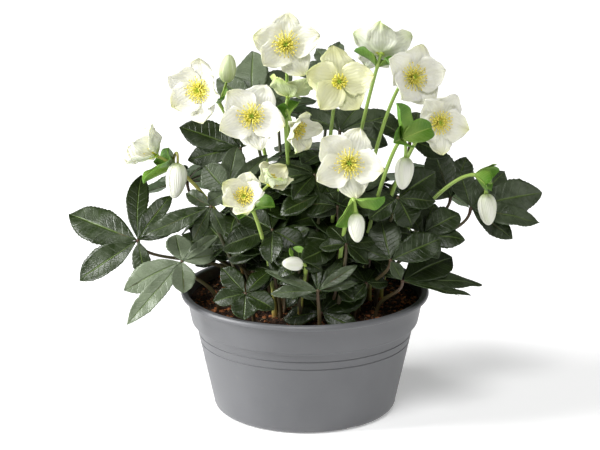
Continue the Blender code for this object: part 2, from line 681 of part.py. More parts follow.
# ---- keeping neighbours apart -----------------------------------------------------------
def tree_of(bm, swell=0.0):
    bm.normal_update()
    points = [corner.co + corner.normal * swell for corner in bm.verts]
    bm.verts.index_update()
    faces = [[corner.index for corner in face.verts] for face in bm.faces]
    return points, faces


def settle(bodies, foot, placed):
    """Turn a plant piece about its root, or lean it, by the least step that keeps it clear."""
    shapes = []
    for _, bm, _ in bodies:
        face_outwards(bm)
        shapes.append(tree_of(bm, CLEARANCE))
    outward = Vector((foot.x, foot.y, 0.0)).normalized()
    steps = [(turn * TURN_STEP, lean * LEAN_STEP)
             for turn in range(-TURN_STEPS, TURN_STEPS + 1)
             for lean in range(-LEAN_STEPS, LEAN_STEPS + 1)]
    steps.sort(key=lambda step: abs(step[0]) / 4 + abs(step[1]) / 0.04)
    best = None
    for turn, lean in steps:
        spin = Matrix.Rotation(math.radians(turn), 4, "Z")
        slope = Matrix.Identity(4)
        slope[0][2] = outward.x * lean
        slope[1][2] = outward.y * lean
        move = Matrix.Translation(foot) @ spin @ slope @ Matrix.Translation(-foot)
        hits = 0
        for points, faces in shapes:
            tree = BVHTree.FromPolygons([move @ point for point in points], faces)
            hits += sum(len(tree.overlap(other)) for other in placed)
        if best is None or hits < best[0]:
            best = (hits, move)
        if hits == 0:
            break
    for _, bm, _ in bodies:
        bm.transform(best[1])
        placed.append(BVHTree.FromPolygons(*tree_of(bm)))


def tree_of_object(body):
    bpy.context.view_layer.update()
    depsgraph = bpy.context.evaluated_depsgraph_get()
    return BVHTree.FromObject(body, depsgraph)


def build():
    clear_scene()
    pot = make_pot()
    compost = make_compost()
    placed = [tree_of_object(pot), tree_of_object(compost)]
    for row in STALKS:
        bodies, foot = stalk_group(row)
        settle(bodies, foot, placed)
        for name, bm, kind in bodies:
            add_object(name, bm, kind)
    for row in LEAVES:
        name, bm = leaf_body(row)
        foot = root_point(row[1], PETIOLE_RADIUS * FOOT_SPREAD)
        bodies = [(name, bm, "pale_leaf" if name == "leaf_left_pale" else "leaf")]
        settle(bodies, foot, placed)
        add_object(*bodies[0])


build()
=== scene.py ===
import math
import random

import bmesh
import bpy
from mathutils import Matrix, Vector, noise
from mathutils.kdtree import KDTree


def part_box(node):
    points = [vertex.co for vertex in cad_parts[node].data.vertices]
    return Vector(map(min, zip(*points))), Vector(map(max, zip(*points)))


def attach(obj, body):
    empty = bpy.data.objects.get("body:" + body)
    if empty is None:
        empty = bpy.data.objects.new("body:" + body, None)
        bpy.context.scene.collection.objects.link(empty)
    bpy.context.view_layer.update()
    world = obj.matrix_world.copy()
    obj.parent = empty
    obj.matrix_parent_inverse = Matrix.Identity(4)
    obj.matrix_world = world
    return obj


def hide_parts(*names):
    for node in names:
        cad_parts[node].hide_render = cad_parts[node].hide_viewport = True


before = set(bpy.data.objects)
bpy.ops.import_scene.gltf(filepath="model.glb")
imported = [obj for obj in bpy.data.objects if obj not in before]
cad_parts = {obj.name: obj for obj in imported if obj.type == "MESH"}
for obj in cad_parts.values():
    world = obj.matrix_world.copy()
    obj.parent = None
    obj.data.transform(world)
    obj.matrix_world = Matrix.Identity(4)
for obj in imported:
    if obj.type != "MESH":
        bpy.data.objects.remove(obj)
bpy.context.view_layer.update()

# ---- pot ------------------------------------------------------------------------------
# A wide, low nursery bowl, injection moulded in satin grey plastic.  The lip stands out
# over a nearly upright collar; a step and two moulded rings run round under it, and three
# drainage channels are pressed up into its underside, each with a hole.
POT_SIDES = 160
POT_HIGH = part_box("pot")[1]
POT_HEIGHT = POT_HIGH.z
RIM_RADIUS = POT_HIGH.y
LIP_OVERHANG = 0.0055
LIP_HEIGHT = 0.0048
COLLAR_HEIGHT = 0.026
COLLAR_TAPER = 0.005
STEP_DEPTH = 0.0045
STEP_HEIGHT = 0.003
BASE_RADIUS = 0.0925
WALL = 0.0022
FLOOR = 0.0040
BASE_ROUND = 0.0085
GROOVE_PITCH = 0.0085
GROOVE_DEPTH = 0.0007
GROOVE_HEIGHT = 0.0016
CHANNEL_WIDTH = 0.013
CHANNEL_DEPTH = 0.0020
CHANNEL_START = 0.045
CHANNEL_TURNS = (-58, 62, 182)
DRAIN_HOLE_RADIUS = 0.0035
DRAIN_HOLE_RING = 0.062
COLLAR_TOP = POT_HEIGHT - LIP_HEIGHT
COLLAR_TOP_RADIUS = RIM_RADIUS - LIP_OVERHANG
COLLAR_FOOT = COLLAR_TOP - COLLAR_HEIGHT
COLLAR_FOOT_RADIUS = COLLAR_TOP_RADIUS - COLLAR_TAPER
WALL_TOP = COLLAR_FOOT - STEP_HEIGHT
WALL_TOP_RADIUS = COLLAR_FOOT_RADIUS - STEP_DEPTH


def wall_radius(height):
    share = (height - BASE_ROUND) / (WALL_TOP - BASE_ROUND)
    return BASE_RADIUS + (WALL_TOP_RADIUS - BASE_RADIUS) * share


def add_ring(radius, height, now):
    """Extrude the selected ring of edges to its next radius and height."""
    bpy.ops.mesh.extrude_region_move()
    bpy.ops.transform.resize(value=(radius / now[0], radius / now[0], 1.0))
    bpy.ops.transform.translate(value=(0.0, 0.0, height - now[1]))


def finish_piece(piece, name, slot, *nodes):
    """Name a finished piece, let it ride on the plant's one body, and hide the parts of model.glb
    that it stands for.
    """
    piece.name = name
    piece.data.name = name
    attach(piece, "root")
    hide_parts(*nodes)


pot_rings = []
for step in range(7):
    turn = math.pi / 2 * step / 6
    pot_rings.append((BASE_RADIUS - BASE_ROUND * (1 - math.sin(turn)) * 0.9,
                      BASE_ROUND * (1 - math.cos(turn))))
for groove in (2, 1):
    middle = WALL_TOP - groove * GROOVE_PITCH
    for offset, depth in ((-1, 0), (-0.5, 0.75), (0, 1), (0.5, 0.75), (1, 0)):
        height = middle + offset * GROOVE_HEIGHT / 2
        pot_rings.append((wall_radius(height) - depth * GROOVE_DEPTH, height))
pot_rings += [
    (wall_radius(WALL_TOP - 0.0015), WALL_TOP - 0.0015),
    (WALL_TOP_RADIUS + 0.0002, WALL_TOP - 0.0002),
    (WALL_TOP_RADIUS + 0.0012, WALL_TOP + 0.0008),
    (COLLAR_FOOT_RADIUS - 0.0006, COLLAR_FOOT - 0.0008),
    (COLLAR_FOOT_RADIUS, COLLAR_FOOT + 0.0006),
    (COLLAR_FOOT_RADIUS + COLLAR_TAPER * 0.5, COLLAR_FOOT + COLLAR_HEIGHT * 0.5),
    (COLLAR_TOP_RADIUS, COLLAR_TOP - 0.0010),
    (COLLAR_TOP_RADIUS + 0.0006, COLLAR_TOP - 0.0002),
    (RIM_RADIUS - 0.0013, COLLAR_TOP),
    (RIM_RADIUS - 0.0003, COLLAR_TOP + 0.0006),
    (RIM_RADIUS, COLLAR_TOP + 0.0017),
    (RIM_RADIUS - 0.0004, COLLAR_TOP + 0.0032),
    (RIM_RADIUS - 0.0016, COLLAR_TOP + 0.0044),
    (RIM_RADIUS - 0.0035, POT_HEIGHT),
    (COLLAR_TOP_RADIUS - WALL + 0.0018, POT_HEIGHT - 0.0002),
    (COLLAR_TOP_RADIUS - WALL + 0.0004, POT_HEIGHT - 0.0014),
    (COLLAR_TOP_RADIUS - WALL, COLLAR_TOP + 0.0010),
    (COLLAR_FOOT_RADIUS - WALL, COLLAR_FOOT),
    (WALL_TOP_RADIUS - WALL, WALL_TOP),
    (wall_radius(BASE_ROUND + FLOOR) - WALL, BASE_ROUND + FLOOR),
    (BASE_RADIUS - BASE_ROUND * 0.8, FLOOR),
]
bpy.ops.object.select_all(action="DESELECT")
bpy.ops.mesh.primitive_circle_add(vertices=POT_SIDES, radius=pot_rings[0][0],
                                  fill_type="NGON", location=(0, 0, 0))
pot = bpy.context.object
bpy.ops.object.mode_set(mode="EDIT")
bpy.ops.mesh.select_mode(type="EDGE")
bpy.ops.mesh.select_all(action="SELECT")
bpy.ops.mesh.region_to_loop()
at = pot_rings[0]
for radius, height in pot_rings[1:]:
    add_ring(radius, height, at)
    at = (radius, height)
bpy.ops.mesh.edge_face_add()
bpy.ops.mesh.select_all(action="SELECT")
bpy.ops.mesh.normals_make_consistent(inside=False)
bpy.ops.object.mode_set(mode="OBJECT")

bpy.ops.object.select_all(action="DESELECT")
pot_cutters = []
channel_length = BASE_RADIUS - CHANNEL_START + 0.01
for turn in CHANNEL_TURNS:
    around = Matrix.Rotation(math.radians(turn), 4, "Z")
    middle = around @ Vector((CHANNEL_START + channel_length / 2, 0, 0))
    bpy.ops.mesh.primitive_cube_add(size=1.0, location=middle, rotation=(0, 0, math.radians(turn)),
                                    scale=(channel_length, CHANNEL_WIDTH, CHANNEL_DEPTH * 2))
    pot_cutters.append(bpy.context.object)
    drill = around @ Vector((DRAIN_HOLE_RING, 0, FLOOR / 2))
    bpy.ops.mesh.primitive_cylinder_add(vertices=28, radius=DRAIN_HOLE_RADIUS, depth=FLOOR * 3,
                                        location=drill)
    pot_cutters.append(bpy.context.object)
for cutter in pot_cutters:
    cut = pot.modifiers.new("drainage", "BOOLEAN")
    cut.operation = "DIFFERENCE"
    cut.object = cutter
    bpy.context.view_layer.objects.active = pot
    bpy.ops.object.modifier_apply(modifier=cut.name)
    bpy.data.objects.remove(cutter)
pot.select_set(True)
bpy.context.view_layer.objects.active = pot
bpy.ops.object.transform_apply(location=True, rotation=True, scale=True)
bpy.ops.object.shade_smooth_by_angle(angle=math.radians(32))


def new_material(name, colour, roughness, specular=0.5):
    """A Principled material, returned with its node tree and its shader."""
    made = bpy.data.materials.new(name)
    made.use_nodes = True
    shader = made.node_tree.nodes["Principled BSDF"]
    feed(shader, {"Base Color": (*colour, 1), "Roughness": roughness,
                  "Specular IOR Level": specular})
    return made, made.node_tree, shader


def feed(target, inputs):
    """Set a node's inputs, each to a value or to the output that drives it."""
    for key, value in inputs.items():
        if isinstance(value, bpy.types.NodeSocket):
            target.id_data.links.new(value, target.inputs[key])
        else:
            target.inputs[key].default_value = value


def node(tree, kind, inputs=None, **settings):
    made = tree.nodes.new("ShaderNode" + kind)
    for key, value in settings.items():
        setattr(made, key, value)
    feed(made, inputs or {})
    return made


def speckle(tree, scale, detail=2.0, **more):
    """Noise that sits still on the piece."""
    place = node(tree, "TexCoord").outputs["Object"]
    inputs = {"Vector": place, "Scale": scale, "Detail": detail, **more}
    return node(tree, "TexNoise", inputs).outputs["Fac"]


def ramp(tree, share, *stops):
    """The colour at share of the way through stops, each a position and a colour."""
    made = node(tree, "ValToRGB", {"Fac": share})
    for stop, (position, colour) in zip(made.color_ramp.elements, (stops[0], stops[-1])):
        stop.position, stop.color = position, (*colour, 1)
    for position, colour in stops[1:-1]:
        made.color_ramp.elements.new(position).color = (*colour, 1)
    return made.outputs["Color"]


def blend(tree, share, first, second):
    inputs = {"Factor": share, "A": first, "B": second}
    return node(tree, "Mix", inputs, data_type="RGBA").outputs["Result"]


def remap(tree, value, source=(0.0, 1.0), result=(0.0, 1.0), kind="LINEAR"):
    inputs = {"Value": value, "From Min": source[0], "From Max": source[1],
              "To Min": result[0], "To Max": result[1]}
    return node(tree, "MapRange", inputs, interpolation_type=kind).outputs["Result"]


def roughen(shader, height, strength, distance):
    """Raise and sink the surface by a height."""
    inputs = {"Height": height, "Strength": strength, "Distance": distance}
    feed(shader, {"Normal": node(shader.id_data, "Bump", inputs).outputs["Normal"]})


plastic, tree, shader = new_material("satin_grey_plastic", (0.104, 0.106, 0.112), 0.42, 0.45)
cloudy = speckle(tree, 22.0, 5.0)
grey = ramp(tree, cloudy, (0.30, (0.096, 0.098, 0.104)), (0.72, (0.112, 0.114, 0.120)))
dust = ramp(tree, speckle(tree, 160.0, 3.0), (0.70, (0, 0, 0)), (0.80, (0.35, 0.35, 0.35)))
feed(shader, {"Base Color": blend(tree, dust, grey, (0.16, 0.15, 0.135, 1)),
              "Roughness": remap(tree, cloudy, result=(0.36, 0.50))})
roughen(shader, speckle(tree, 1400.0), 0.10, 0.0004)
pot.data.materials.append(plastic)
finish_piece(pot, "bowl", "pot_plastic", "pot")

# ---- compost --------------------------------------------------------------------------
# Moist peat with composted bark, a little below the rim.  The surface is lumpy, and loose
# crumbs, orange-brown bark chips and a few pale root fibres lie on it.
COMPOST_RECESS = 0.012
COMPOST_CROWN = 0.006
COMPOST_EDGE = POT_HEIGHT - COMPOST_RECESS
GAP = 0.0003
COMPOST_EDGE_RADIUS = COLLAR_FOOT_RADIUS - WALL - GAP
COMPOST_EDGE_RADIUS += COLLAR_TAPER * (COMPOST_EDGE - COLLAR_FOOT) / COLLAR_HEIGHT
COMPOST_SKIRT = 0.012
COMPOST_SIDES = 168
COMPOST_RINGS = 56
CRUMB_COUNT = 1300
CRUMB_MARGIN = 0.004
BARK_SHARE = 0.34
BARK_SIZE = (0.0015, 0.0036)
BARK_FLATNESS = (0.22, 0.5)
PEAT_SIZE = (0.0009, 0.0019)
PEAT_FLATNESS = (0.5, 0.9)


def compost_height(radius):
    share = min(radius / COMPOST_EDGE_RADIUS, 1.0)
    return COMPOST_EDGE + COMPOST_CROWN * 0.5 * (1 + math.cos(math.pi * share))


def lumps(x, y):
    """Rise and fall of the compost over its smooth dome."""
    at = Vector((x, y, 0.0))
    coarse = noise.noise(at * 38.0) * 0.0022
    middling = noise.noise(at * 110.0 + Vector((3, 1, 0))) * 0.0016
    fine = noise.noise(at * 320.0 + Vector((7, 5, 0))) * 0.0008
    return coarse + middling + fine


bpy.ops.object.select_all(action="DESELECT")
bpy.ops.mesh.primitive_circle_add(vertices=COMPOST_SIDES, radius=COMPOST_EDGE_RADIUS,
                                  fill_type="NGON", location=(0, 0, COMPOST_EDGE - COMPOST_SKIRT))
compost = bpy.context.object
bpy.ops.object.transform_apply(location=True, rotation=True, scale=True)
bpy.ops.object.mode_set(mode="EDIT")
bpy.ops.mesh.select_mode(type="EDGE")
bpy.ops.mesh.select_all(action="SELECT")
bpy.ops.mesh.region_to_loop()
at = (COMPOST_EDGE_RADIUS, COMPOST_EDGE - COMPOST_SKIRT)
for step in range(COMPOST_RINGS):
    radius = COMPOST_EDGE_RADIUS * (1 - step / COMPOST_RINGS)
    height = compost_height(radius)
    add_ring(radius, height, at)
    at = (radius, height)
bpy.ops.mesh.edge_face_add()
bpy.ops.mesh.poke()
bpy.ops.mesh.select_all(action="SELECT")
bpy.ops.mesh.normals_make_consistent(inside=False)
bpy.ops.object.mode_set(mode="OBJECT")
for corner in compost.data.vertices:
    if corner.co.z > COMPOST_EDGE - 0.001:
        calm = min(1.0, (COMPOST_EDGE_RADIUS - corner.co.xy.length) / 0.004)
        corner.co.z += lumps(corner.co.x, corner.co.y) * (0.35 + 0.65 * calm)
bpy.ops.object.shade_smooth()


def maths(tree, operation, *values, use_clamp=False):
    made = node(tree, "Math", dict(enumerate(values)), operation=operation, use_clamp=use_clamp)
    return made.outputs["Value"]


def painted(tree, layer):
    """The amount of a layer that was painted on the piece's corners."""
    return node(tree, "Attribute", attribute_name=layer).outputs["Fac"]


def object_from(bm, name):
    data = bpy.data.meshes.new(name)
    bm.to_mesh(data)
    bm.free()
    made = bpy.data.objects.new(name, data)
    bpy.context.collection.objects.link(made)
    return made


peat, tree, shader = new_material("moist_peat", (0.03, 0.016, 0.009), 0.95, 0.25)
place = node(tree, "TexCoord").outputs["Object"]
clods = node(tree, "TexVoronoi", {"Vector": place, "Scale": 380.0}).outputs["Distance"]
fine = speckle(tree, 240.0, 8.0)
feed(shader, {"Base Color": ramp(tree, fine, (0.36, (0.010, 0.005, 0.003)),
                                 (0.55, (0.034, 0.017, 0.009)), (0.74, (0.095, 0.040, 0.018)))})
roughen(shader, maths(tree, "ADD", clods, fine), 0.9, 0.0015)
compost.data.materials.append(peat)
finish_piece(compost, "compost_bed", "compost", "compost")

bark, tree, shader = new_material("composted_bark", (0.12, 0.045, 0.016), 0.85, 0.3)
fleck = speckle(tree, 900.0, 4.0)
shade = maths(tree, "MULTIPLY_ADD", fleck, 0.5, painted(tree, "tone"))
feed(shader, {"Base Color": ramp(tree, shade, (0.20, (0.018, 0.009, 0.005)),
                                 (0.8333, (0.270, 0.098, 0.033)))})
roughen(shader, fleck, 0.6, 0.0005)
crumb_mesh = bmesh.new()
crumb_tone = crumb_mesh.verts.layers.float.new("tone")
chance = random.Random(11)
for index in range(CRUMB_COUNT):
    radius = (COMPOST_EDGE_RADIUS - CRUMB_MARGIN) * math.sqrt(chance.random())
    turn = chance.uniform(0, 2 * math.pi)
    x, y = radius * math.cos(turn), radius * math.sin(turn)
    is_bark = chance.random() < BARK_SHARE
    size = chance.uniform(*(BARK_SIZE if is_bark else PEAT_SIZE))
    flat = chance.uniform(*(BARK_FLATNESS if is_bark else PEAT_FLATNESS))
    made = bmesh.ops.create_icosphere(crumb_mesh, subdivisions=1, radius=1.0)["verts"]
    tilt = Matrix.Rotation(chance.uniform(0, 6.28), 4, "Z")
    tilt = tilt @ Matrix.Rotation(chance.uniform(-0.6, 0.6), 4, "X")
    shape = Matrix.Diagonal((size, size * chance.uniform(0.5, 0.9), size * flat, 1.0))
    height = compost_height(radius) + lumps(x, y) + size * flat * 0.35
    move = Matrix.Translation((x, y, height)) @ tilt @ shape
    tone = chance.uniform(0.55, 1.0) if is_bark else chance.uniform(0.0, 0.35)
    for corner in made:
        corner.co = move @ (corner.co * (1 + chance.uniform(-0.28, 0.28)))
        corner[crumb_tone] = tone
crumbs = object_from(crumb_mesh, "bark_crumbs")
crumbs.data.materials.append(bark)
finish_piece(crumbs, "bark_crumbs", "compost", "compost")

# ---- leaves ---------------------------------------------------------------------------
# Each leaf is a petiole whose end spreads into four to seven leathery leaflets: folded a
# little along the midrib, toothed towards the tip, dark above and paler beneath.  Those of
# the open side are greyer with bloom.  They grow from the crowns in the compost.
UP = Vector((0, 0, 1))
HUB_DEPTH = 0.0022
PETIOLE_RADIUS = 0.0016
LEAF_DROOP = 24
LEAF_THICKNESS = 0.00038
LEAST_HALF_WIDTH = 0.00035
TEETH_FROM = 0.32
RIB_SPREAD = 0.0009
SWELL = 0.0030
TOOTH_PITCH = 0.0042
RIB_RADIUS = 0.0008
RIB_RINGS = 9
FOOT_SINK = 0.005
STEM_MATERIAL = 2
TURNS = range(-44, 45, 2)
LEANS = [step * 0.04 for step in range(-6, 7)]

# name, root, hub over the rim, the way the face looks, grey bloom, and the leaflets as
# (clock angle from upright, length, width) in degrees and millimetres
LEAVES = (
    ("leaf_left", (-.055, -.012), (-.166, -.030, .059), (-.15, -.85, .50), .04,
     ((-72, 88, 36), (-126, 74, 29), (-10, 80, 21), (27, 57, 20), (62, 40, 14), (163, 38, 18))),
    ("leaf_left_pale", (-.086, -.036), (-.121, -.058, .046), (.10, -.80, .60), .72,
     ((52, 46, 12), (76, 36, 17), (-8, 31, 25), (-110, 64, 27), (-137, 82, 20), (178, 31, 23))),
    ("leaf_right", (.062, .004), (.166, .000, .084), (.15, -.75, .65), .15,
     ((78, 82, 34), (43, 62, 30), (105, 70, 24), (128, 52, 22), (-4, 46, 24))),
    ("leaf_front_right", (.052, -.052), (.083, -.090, .057), (.00, -.85, .50), .08,
     ((-14, 44, 31), (64, 56, 28), (-68, 44, 15), (150, 20, 12))),
    ("leaf_front_right_low", (.070, -.060), (.092, -.086, .034), (.15, -.60, .75), .05,
     ((66, 74, 34), (92, 92, 20), (112, 70, 9), (-20, 30, 16))),
    ("leaf_front_narrow", (.014, -.098), (.011, -.100, .032), (.00, -.80, .60), .20,
     ((-4, 45, 11), (30, 50, 10), (52, 46, 12), (76, 40, 9), (-66, 56, 10), (-92, 46, 13))),
    ("leaf_front_left_low", (-.050, -.080), (-.058, -.095, .025), (-.10, -.75, .65), -.14,
     ((-105, 32, 17), (178, 25, 24), (118, 32, 20), (-46, 36, 20), (36, 34, 18))),
    ("leaf_left_upright", (-.034, -.030), (-.076, -.050, .115), (.00, -.90, .40), .28,
     ((-44, 34, 27), (10, 48, 22), (44, 54, 14), (-120, 22, 16))),
    ("leaf_left_long", (-.062, -.048), (-.092, -.062, .103), (-.10, -.85, .50), .14,
     ((-115, 72, 20), (-152, 38, 14), (-62, 30, 14), (150, 30, 13))),
    ("leaf_left_upper", (-.040, .006), (-.064, -.010, .148), (.00, -.75, .65), .10,
     ((-66, 66, 29), (-98, 54, 24), (-30, 38, 20), (34, 45, 22))),
    ("leaf_top_left", (-.022, .034), (-.053, .042, .180), (.00, -.80, .60), .42,
     ((-2, 62, 33), (44, 54, 28), (-48, 46, 26), (95, 36, 20))),
    ("leaf_right_dark", (.068, .030), (.147, .026, .087), (.05, -.85, .50), .20,
     ((-16, 56, 30), (24, 52, 24), (-62, 44, 24))),
    ("leaf_right_middle", (.070, -.022), (.115, -.050, .072), (.10, -.80, .60), .10,
     ((62, 48, 26), (98, 42, 24), (24, 40, 22), (-26, 36, 20), (150, 28, 18))),
    ("leaf_right_green", (.048, -.030), (.087, -.076, .115), (.00, -.85, .50), .00,
     ((150, 30, 28), (52, 48, 30), (96, 36, 20), (-122, 34, 20))),
    ("leaf_right_upper", (.046, .014), (.105, .020, .149), (.00, -.70, .70), .10,
     ((-52, 46, 24), (14, 42, 26), (62, 46, 26), (112, 40, 24))),
    ("leaf_middle", (.030, -.044), (.039, -.070, .105), (.00, -.70, .70), .05,
     ((78, 46, 24), (34, 38, 22), (-34, 36, 22), (-84, 40, 24), (132, 36, 22))),
    ("leaf_middle_left", (-.020, -.054), (-.036, -.086, .081), (-.05, -.74, .67), -.05,
     ((-110, 54, 30), (-64, 42, 24), (-20, 36, 20), (166, 32, 22), (112, 36, 22))),
    ("leaf_middle_low", (.000, -.064), (.002, -.088, .050), (.00, -.65, .75), -.08,
     ((-66, 36, 20), (-114, 32, 18), (100, 36, 20), (54, 34, 18))),
    ("leaf_top_right", (.018, .022), (.035, .040, .154), (.00, -.55, .83), .25,
     ((-58, 52, 24), (62, 62, 28), (24, 50, 24), (-22, 48, 24), (104, 50, 24))),
    ("leaf_top_back", (.010, .052), (.024, .080, .211), (.00, -.80, .60), .20,
     ((-38, 24, 14), (20, 28, 15), (-104, 34, 16), (96, 32, 16))),
    ("leaf_back", (.006, .076), (.010, .158, .097), (.00, .62, .78), .15,
     ((0, 56, 28), (48, 58, 28), (-48, 58, 28), (100, 52, 24), (-100, 52, 24))),
    ("leaf_back_upper", (-.016, .058), (-.026, .096, .161), (-.10, .62, .78), .20,
     ((-6, 44, 24), (44, 48, 26), (-54, 46, 26), (98, 46, 24), (-102, 46, 24))),
    ("leaf_back_left", (-.052, .056), (-.124, .130, .077), (-.36, .60, .72), .20,
     ((-4, 60, 30), (46, 60, 28), (-54, 62, 28), (98, 54, 24), (-104, 54, 24))),
    ("leaf_back_right", (.056, .054), (.128, .130, .072), (.36, .60, .72), .10,
     ((2, 58, 30), (50, 62, 28), (-50, 60, 28), (104, 54, 24), (-100, 54, 24))),
)


def face_axes(normal, upright):
    """Up and right as seen by someone who looks at the face of a leaf or flower."""
    up = (upright - normal * upright.dot(normal)).normalized()
    return up, up.cross(normal).normalized()


def blade_point(start, direction, normal, length, bend, share):
    """A point on the arc that a drooping blade's midrib follows."""
    turn = math.radians(bend) if abs(bend) > 0.5 else math.radians(0.5)
    ahead = math.sin(turn * share) / turn
    below = (1 - math.cos(turn * share)) / turn
    return start + (direction * ahead - normal * below) * length


def settled(foot, probes):
    """The turn about its root, and the lean, that the frame's solids took to clear each other.

    probes are pairs of a CAD node and points that lie on it before the turn and the lean.
    """
    trees = []
    for cad_node, points in probes:
        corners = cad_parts[cad_node].data.vertices
        tree = KDTree(len(corners))
        for index, corner in enumerate(corners):
            tree.insert(corner.co, index)
        tree.balance()
        trees.append((tree, points))
    outward = Vector((foot.x, foot.y, 0.0)).normalized()
    best = None
    for turn in TURNS:
        for lean in LEANS:
            slope = Matrix.Identity(4)
            slope[0][2] = outward.x * lean
            slope[1][2] = outward.y * lean
            spin = Matrix.Rotation(math.radians(turn), 4, "Z")
            move = Matrix.Translation(foot) @ spin @ slope @ Matrix.Translation(-foot)
            miss = sum(tree.find(move @ point)[2] for tree, points in trees for point in points)
            if best is None or miss < best[0]:
                best = (miss, move)
    return best[1]


def spoke_at(up, right, turn):
    """The way a clock hand points, in a plane with the given up and right."""
    return up * math.cos(turn) + right * math.sin(turn)


def bezier(ends, share):
    start, start_pull, end_pull, end = ends
    rest = 1 - share
    return (start * rest ** 3 + start_pull * 3 * rest ** 2 * share
            + end_pull * 3 * rest * share ** 2 + end * share ** 3)


def bezier_direction(ends, share):
    ahead = bezier(ends, min(share + 0.01, 1.0))
    behind = bezier(ends, max(share - 0.01, 0.0))
    return (ahead - behind).normalized()


def root_point(root):
    place = Vector((root[0], root[1], 0.0))
    place.z = compost_height(place.length) + GAP
    return place


def flat_sheet(columns, rows):
    """One flat blade, ready to be bent: columns run across it and rows along it."""
    bpy.ops.object.select_all(action="DESELECT")
    bpy.ops.mesh.primitive_grid_add(x_subdivisions=columns, y_subdivisions=rows, size=2.0,
                                    calc_uvs=True)
    sheet = bpy.context.object.data.copy()
    bpy.data.objects.remove(bpy.context.object)
    return sheet

def add_blade(bm, sheet, blade, chance):
    """Bend a copy of a flat sheet into one blade.

    blade: start, direction, normal, length, width, bend, and its outline and relief:
    narrow and blunt shape the outline, fold lifts the edges, teeth and tooth_depth cut the
    margin, wave ripples it, sway curves it sideways, twist turns its tip, and bloom and fade
    paint it.
    """
    first = len(bm.verts)
    bm.from_mesh(sheet)
    bm.verts.ensure_lookup_table()
    base_side = blade["direction"].cross(blade["normal"]).normalized()
    narrow, blunt = blade["narrow"], blade["blunt"]
    widest = narrow / (narrow + blunt)
    peak = widest ** narrow * (1 - widest) ** blunt
    bloom = bm.verts.layers.float.get("bloom") or bm.verts.layers.float.new("bloom")
    tone = blade["bloom"] + chance.uniform(-0.10, 0.10)
    ripple = chance.uniform(0, 6.28)
    uneven = chance.uniform(-0.06, 0.06)
    swell = Vector((chance.uniform(0, 9), chance.uniform(0, 9), chance.uniform(0, 9)))
    sway = blade["sway"] * chance.uniform(-1, 1)
    twist = blade["twist"] * chance.uniform(-1, 1)
    for corner in bm.verts[first:]:
        across, share = corner.co.x, (corner.co.y + 1) / 2
        outline = share ** narrow * (1 - share) ** blunt / peak
        half = max(blade["width"] / 2 * outline, LEAST_HALF_WIDTH)
        if share > TEETH_FROM and blade["teeth"]:
            saw = (share * blade["teeth"]) % 1.0
            half *= 1 - blade["tooth_depth"] * (1 - saw) * abs(across) ** 6
        half *= 1 + uneven * (1 if across > 0 else -1) * math.sin(math.pi * share)
        point = blade_point(blade["start"], blade["direction"], blade["normal"],
                            blade["length"], blade["bend"], share)
        tilt = math.radians(blade["bend"]) * share
        normal = blade["normal"] * math.cos(tilt) + blade["direction"] * math.sin(tilt)
        turn = math.radians(twist) * share
        side = base_side * math.cos(turn) + normal * math.sin(turn)
        normal = normal * math.cos(turn) - base_side * math.sin(turn)
        lift = blade["fold"] * half * (abs(across) ** 1.4)
        lift += blade["cup"] * half * across ** 2
        edge = abs(across) ** 2
        lift += blade["wave"] * edge * math.sin(share * 15 + ripple + across * 1.3)
        lift -= blade["rib"] * math.exp(-(across * half / RIB_SPREAD) ** 2)
        lift += SWELL * share * noise.noise(point * 55.0 + swell)
        corner[bloom] = tone + blade["fade"] * share
        shift = sway * blade["length"] * share * share
        corner.co = point + side * (across * half + shift) + normal * lift


def tube_rings(bm, points, directions, radii, sides, seam, material=0):
    """A closed tube through points, with texture rows that run along it."""
    layer = bm.loops.layers.uv.verify()
    rings = []
    for point, direction, radius in zip(points, directions, radii):
        side = direction.cross(seam)
        if side.length < 0.05:
            side = direction.cross(Vector((0.2, 0.9, 0.4)))
        side.normalize()
        front = side.cross(direction).normalized()
        rings.append([bm.verts.new(point + spoke_at(side, front, 2 * math.pi * index / sides)
                                   * radius) for index in range(sides)])
    last = len(rings) - 1
    for step in range(last):
        for index in range(sides):
            after = (index + 1) % sides
            wall = bm.faces.new((rings[step][index], rings[step][after],
                                 rings[step + 1][after], rings[step + 1][index]))
            for loop, share in zip(wall.loops, (step, step, step + 1, step + 1)):
                loop[layer].uv = (index / sides, share / last)
            wall.smooth = True
            wall.material_index = material
    ends = [bm.faces.new(list(reversed(rings[0]))), bm.faces.new(rings[-1])]
    for cap, share in zip(ends, (0.0, 1.0)):
        cap.material_index = material
        for loop in cap.loops:
            loop[layer].uv = (0.5, share)
    return rings


def even_shares(count):
    return [step / (count - 1) for step in range(count)]


def curved_tube(bm, ends, radii, sides, seam, material=0, shares=None, last_way=None, sink=0.0):
    """A tube along a Bezier curve, with a ring for each radius; sink lowers its first ring."""
    shares = shares or even_shares(len(radii))
    points = [bezier(ends, share) for share in shares]
    points[0] -= UP * sink
    ways = [bezier_direction(ends, share) for share in shares]
    if last_way:
        ways[-1] = last_way
    return tube_rings(bm, points, ways, radii, sides, seam, material)


def pick(piece, *others):
    """Select these pieces only, with the first one active."""
    bpy.ops.object.select_all(action="DESELECT")
    for other in others:
        other.select_set(True)
    piece.select_set(True)
    bpy.context.view_layer.objects.active = piece


def thicken(piece, thickness):
    """Give open blades their thickness, with the underside in the next material."""
    pick(piece)
    wall = piece.modifiers.new("thickness", "SOLIDIFY")
    wall.thickness = thickness
    wall.offset = -1.0
    wall.use_even_offset = False
    wall.material_offset = 1
    wall.material_offset_rim = 1
    bpy.ops.object.modifier_apply(modifier=wall.name)
    bpy.ops.object.shade_smooth()


def wear(piece, *materials):
    for material in materials:
        piece.data.materials.append(material)


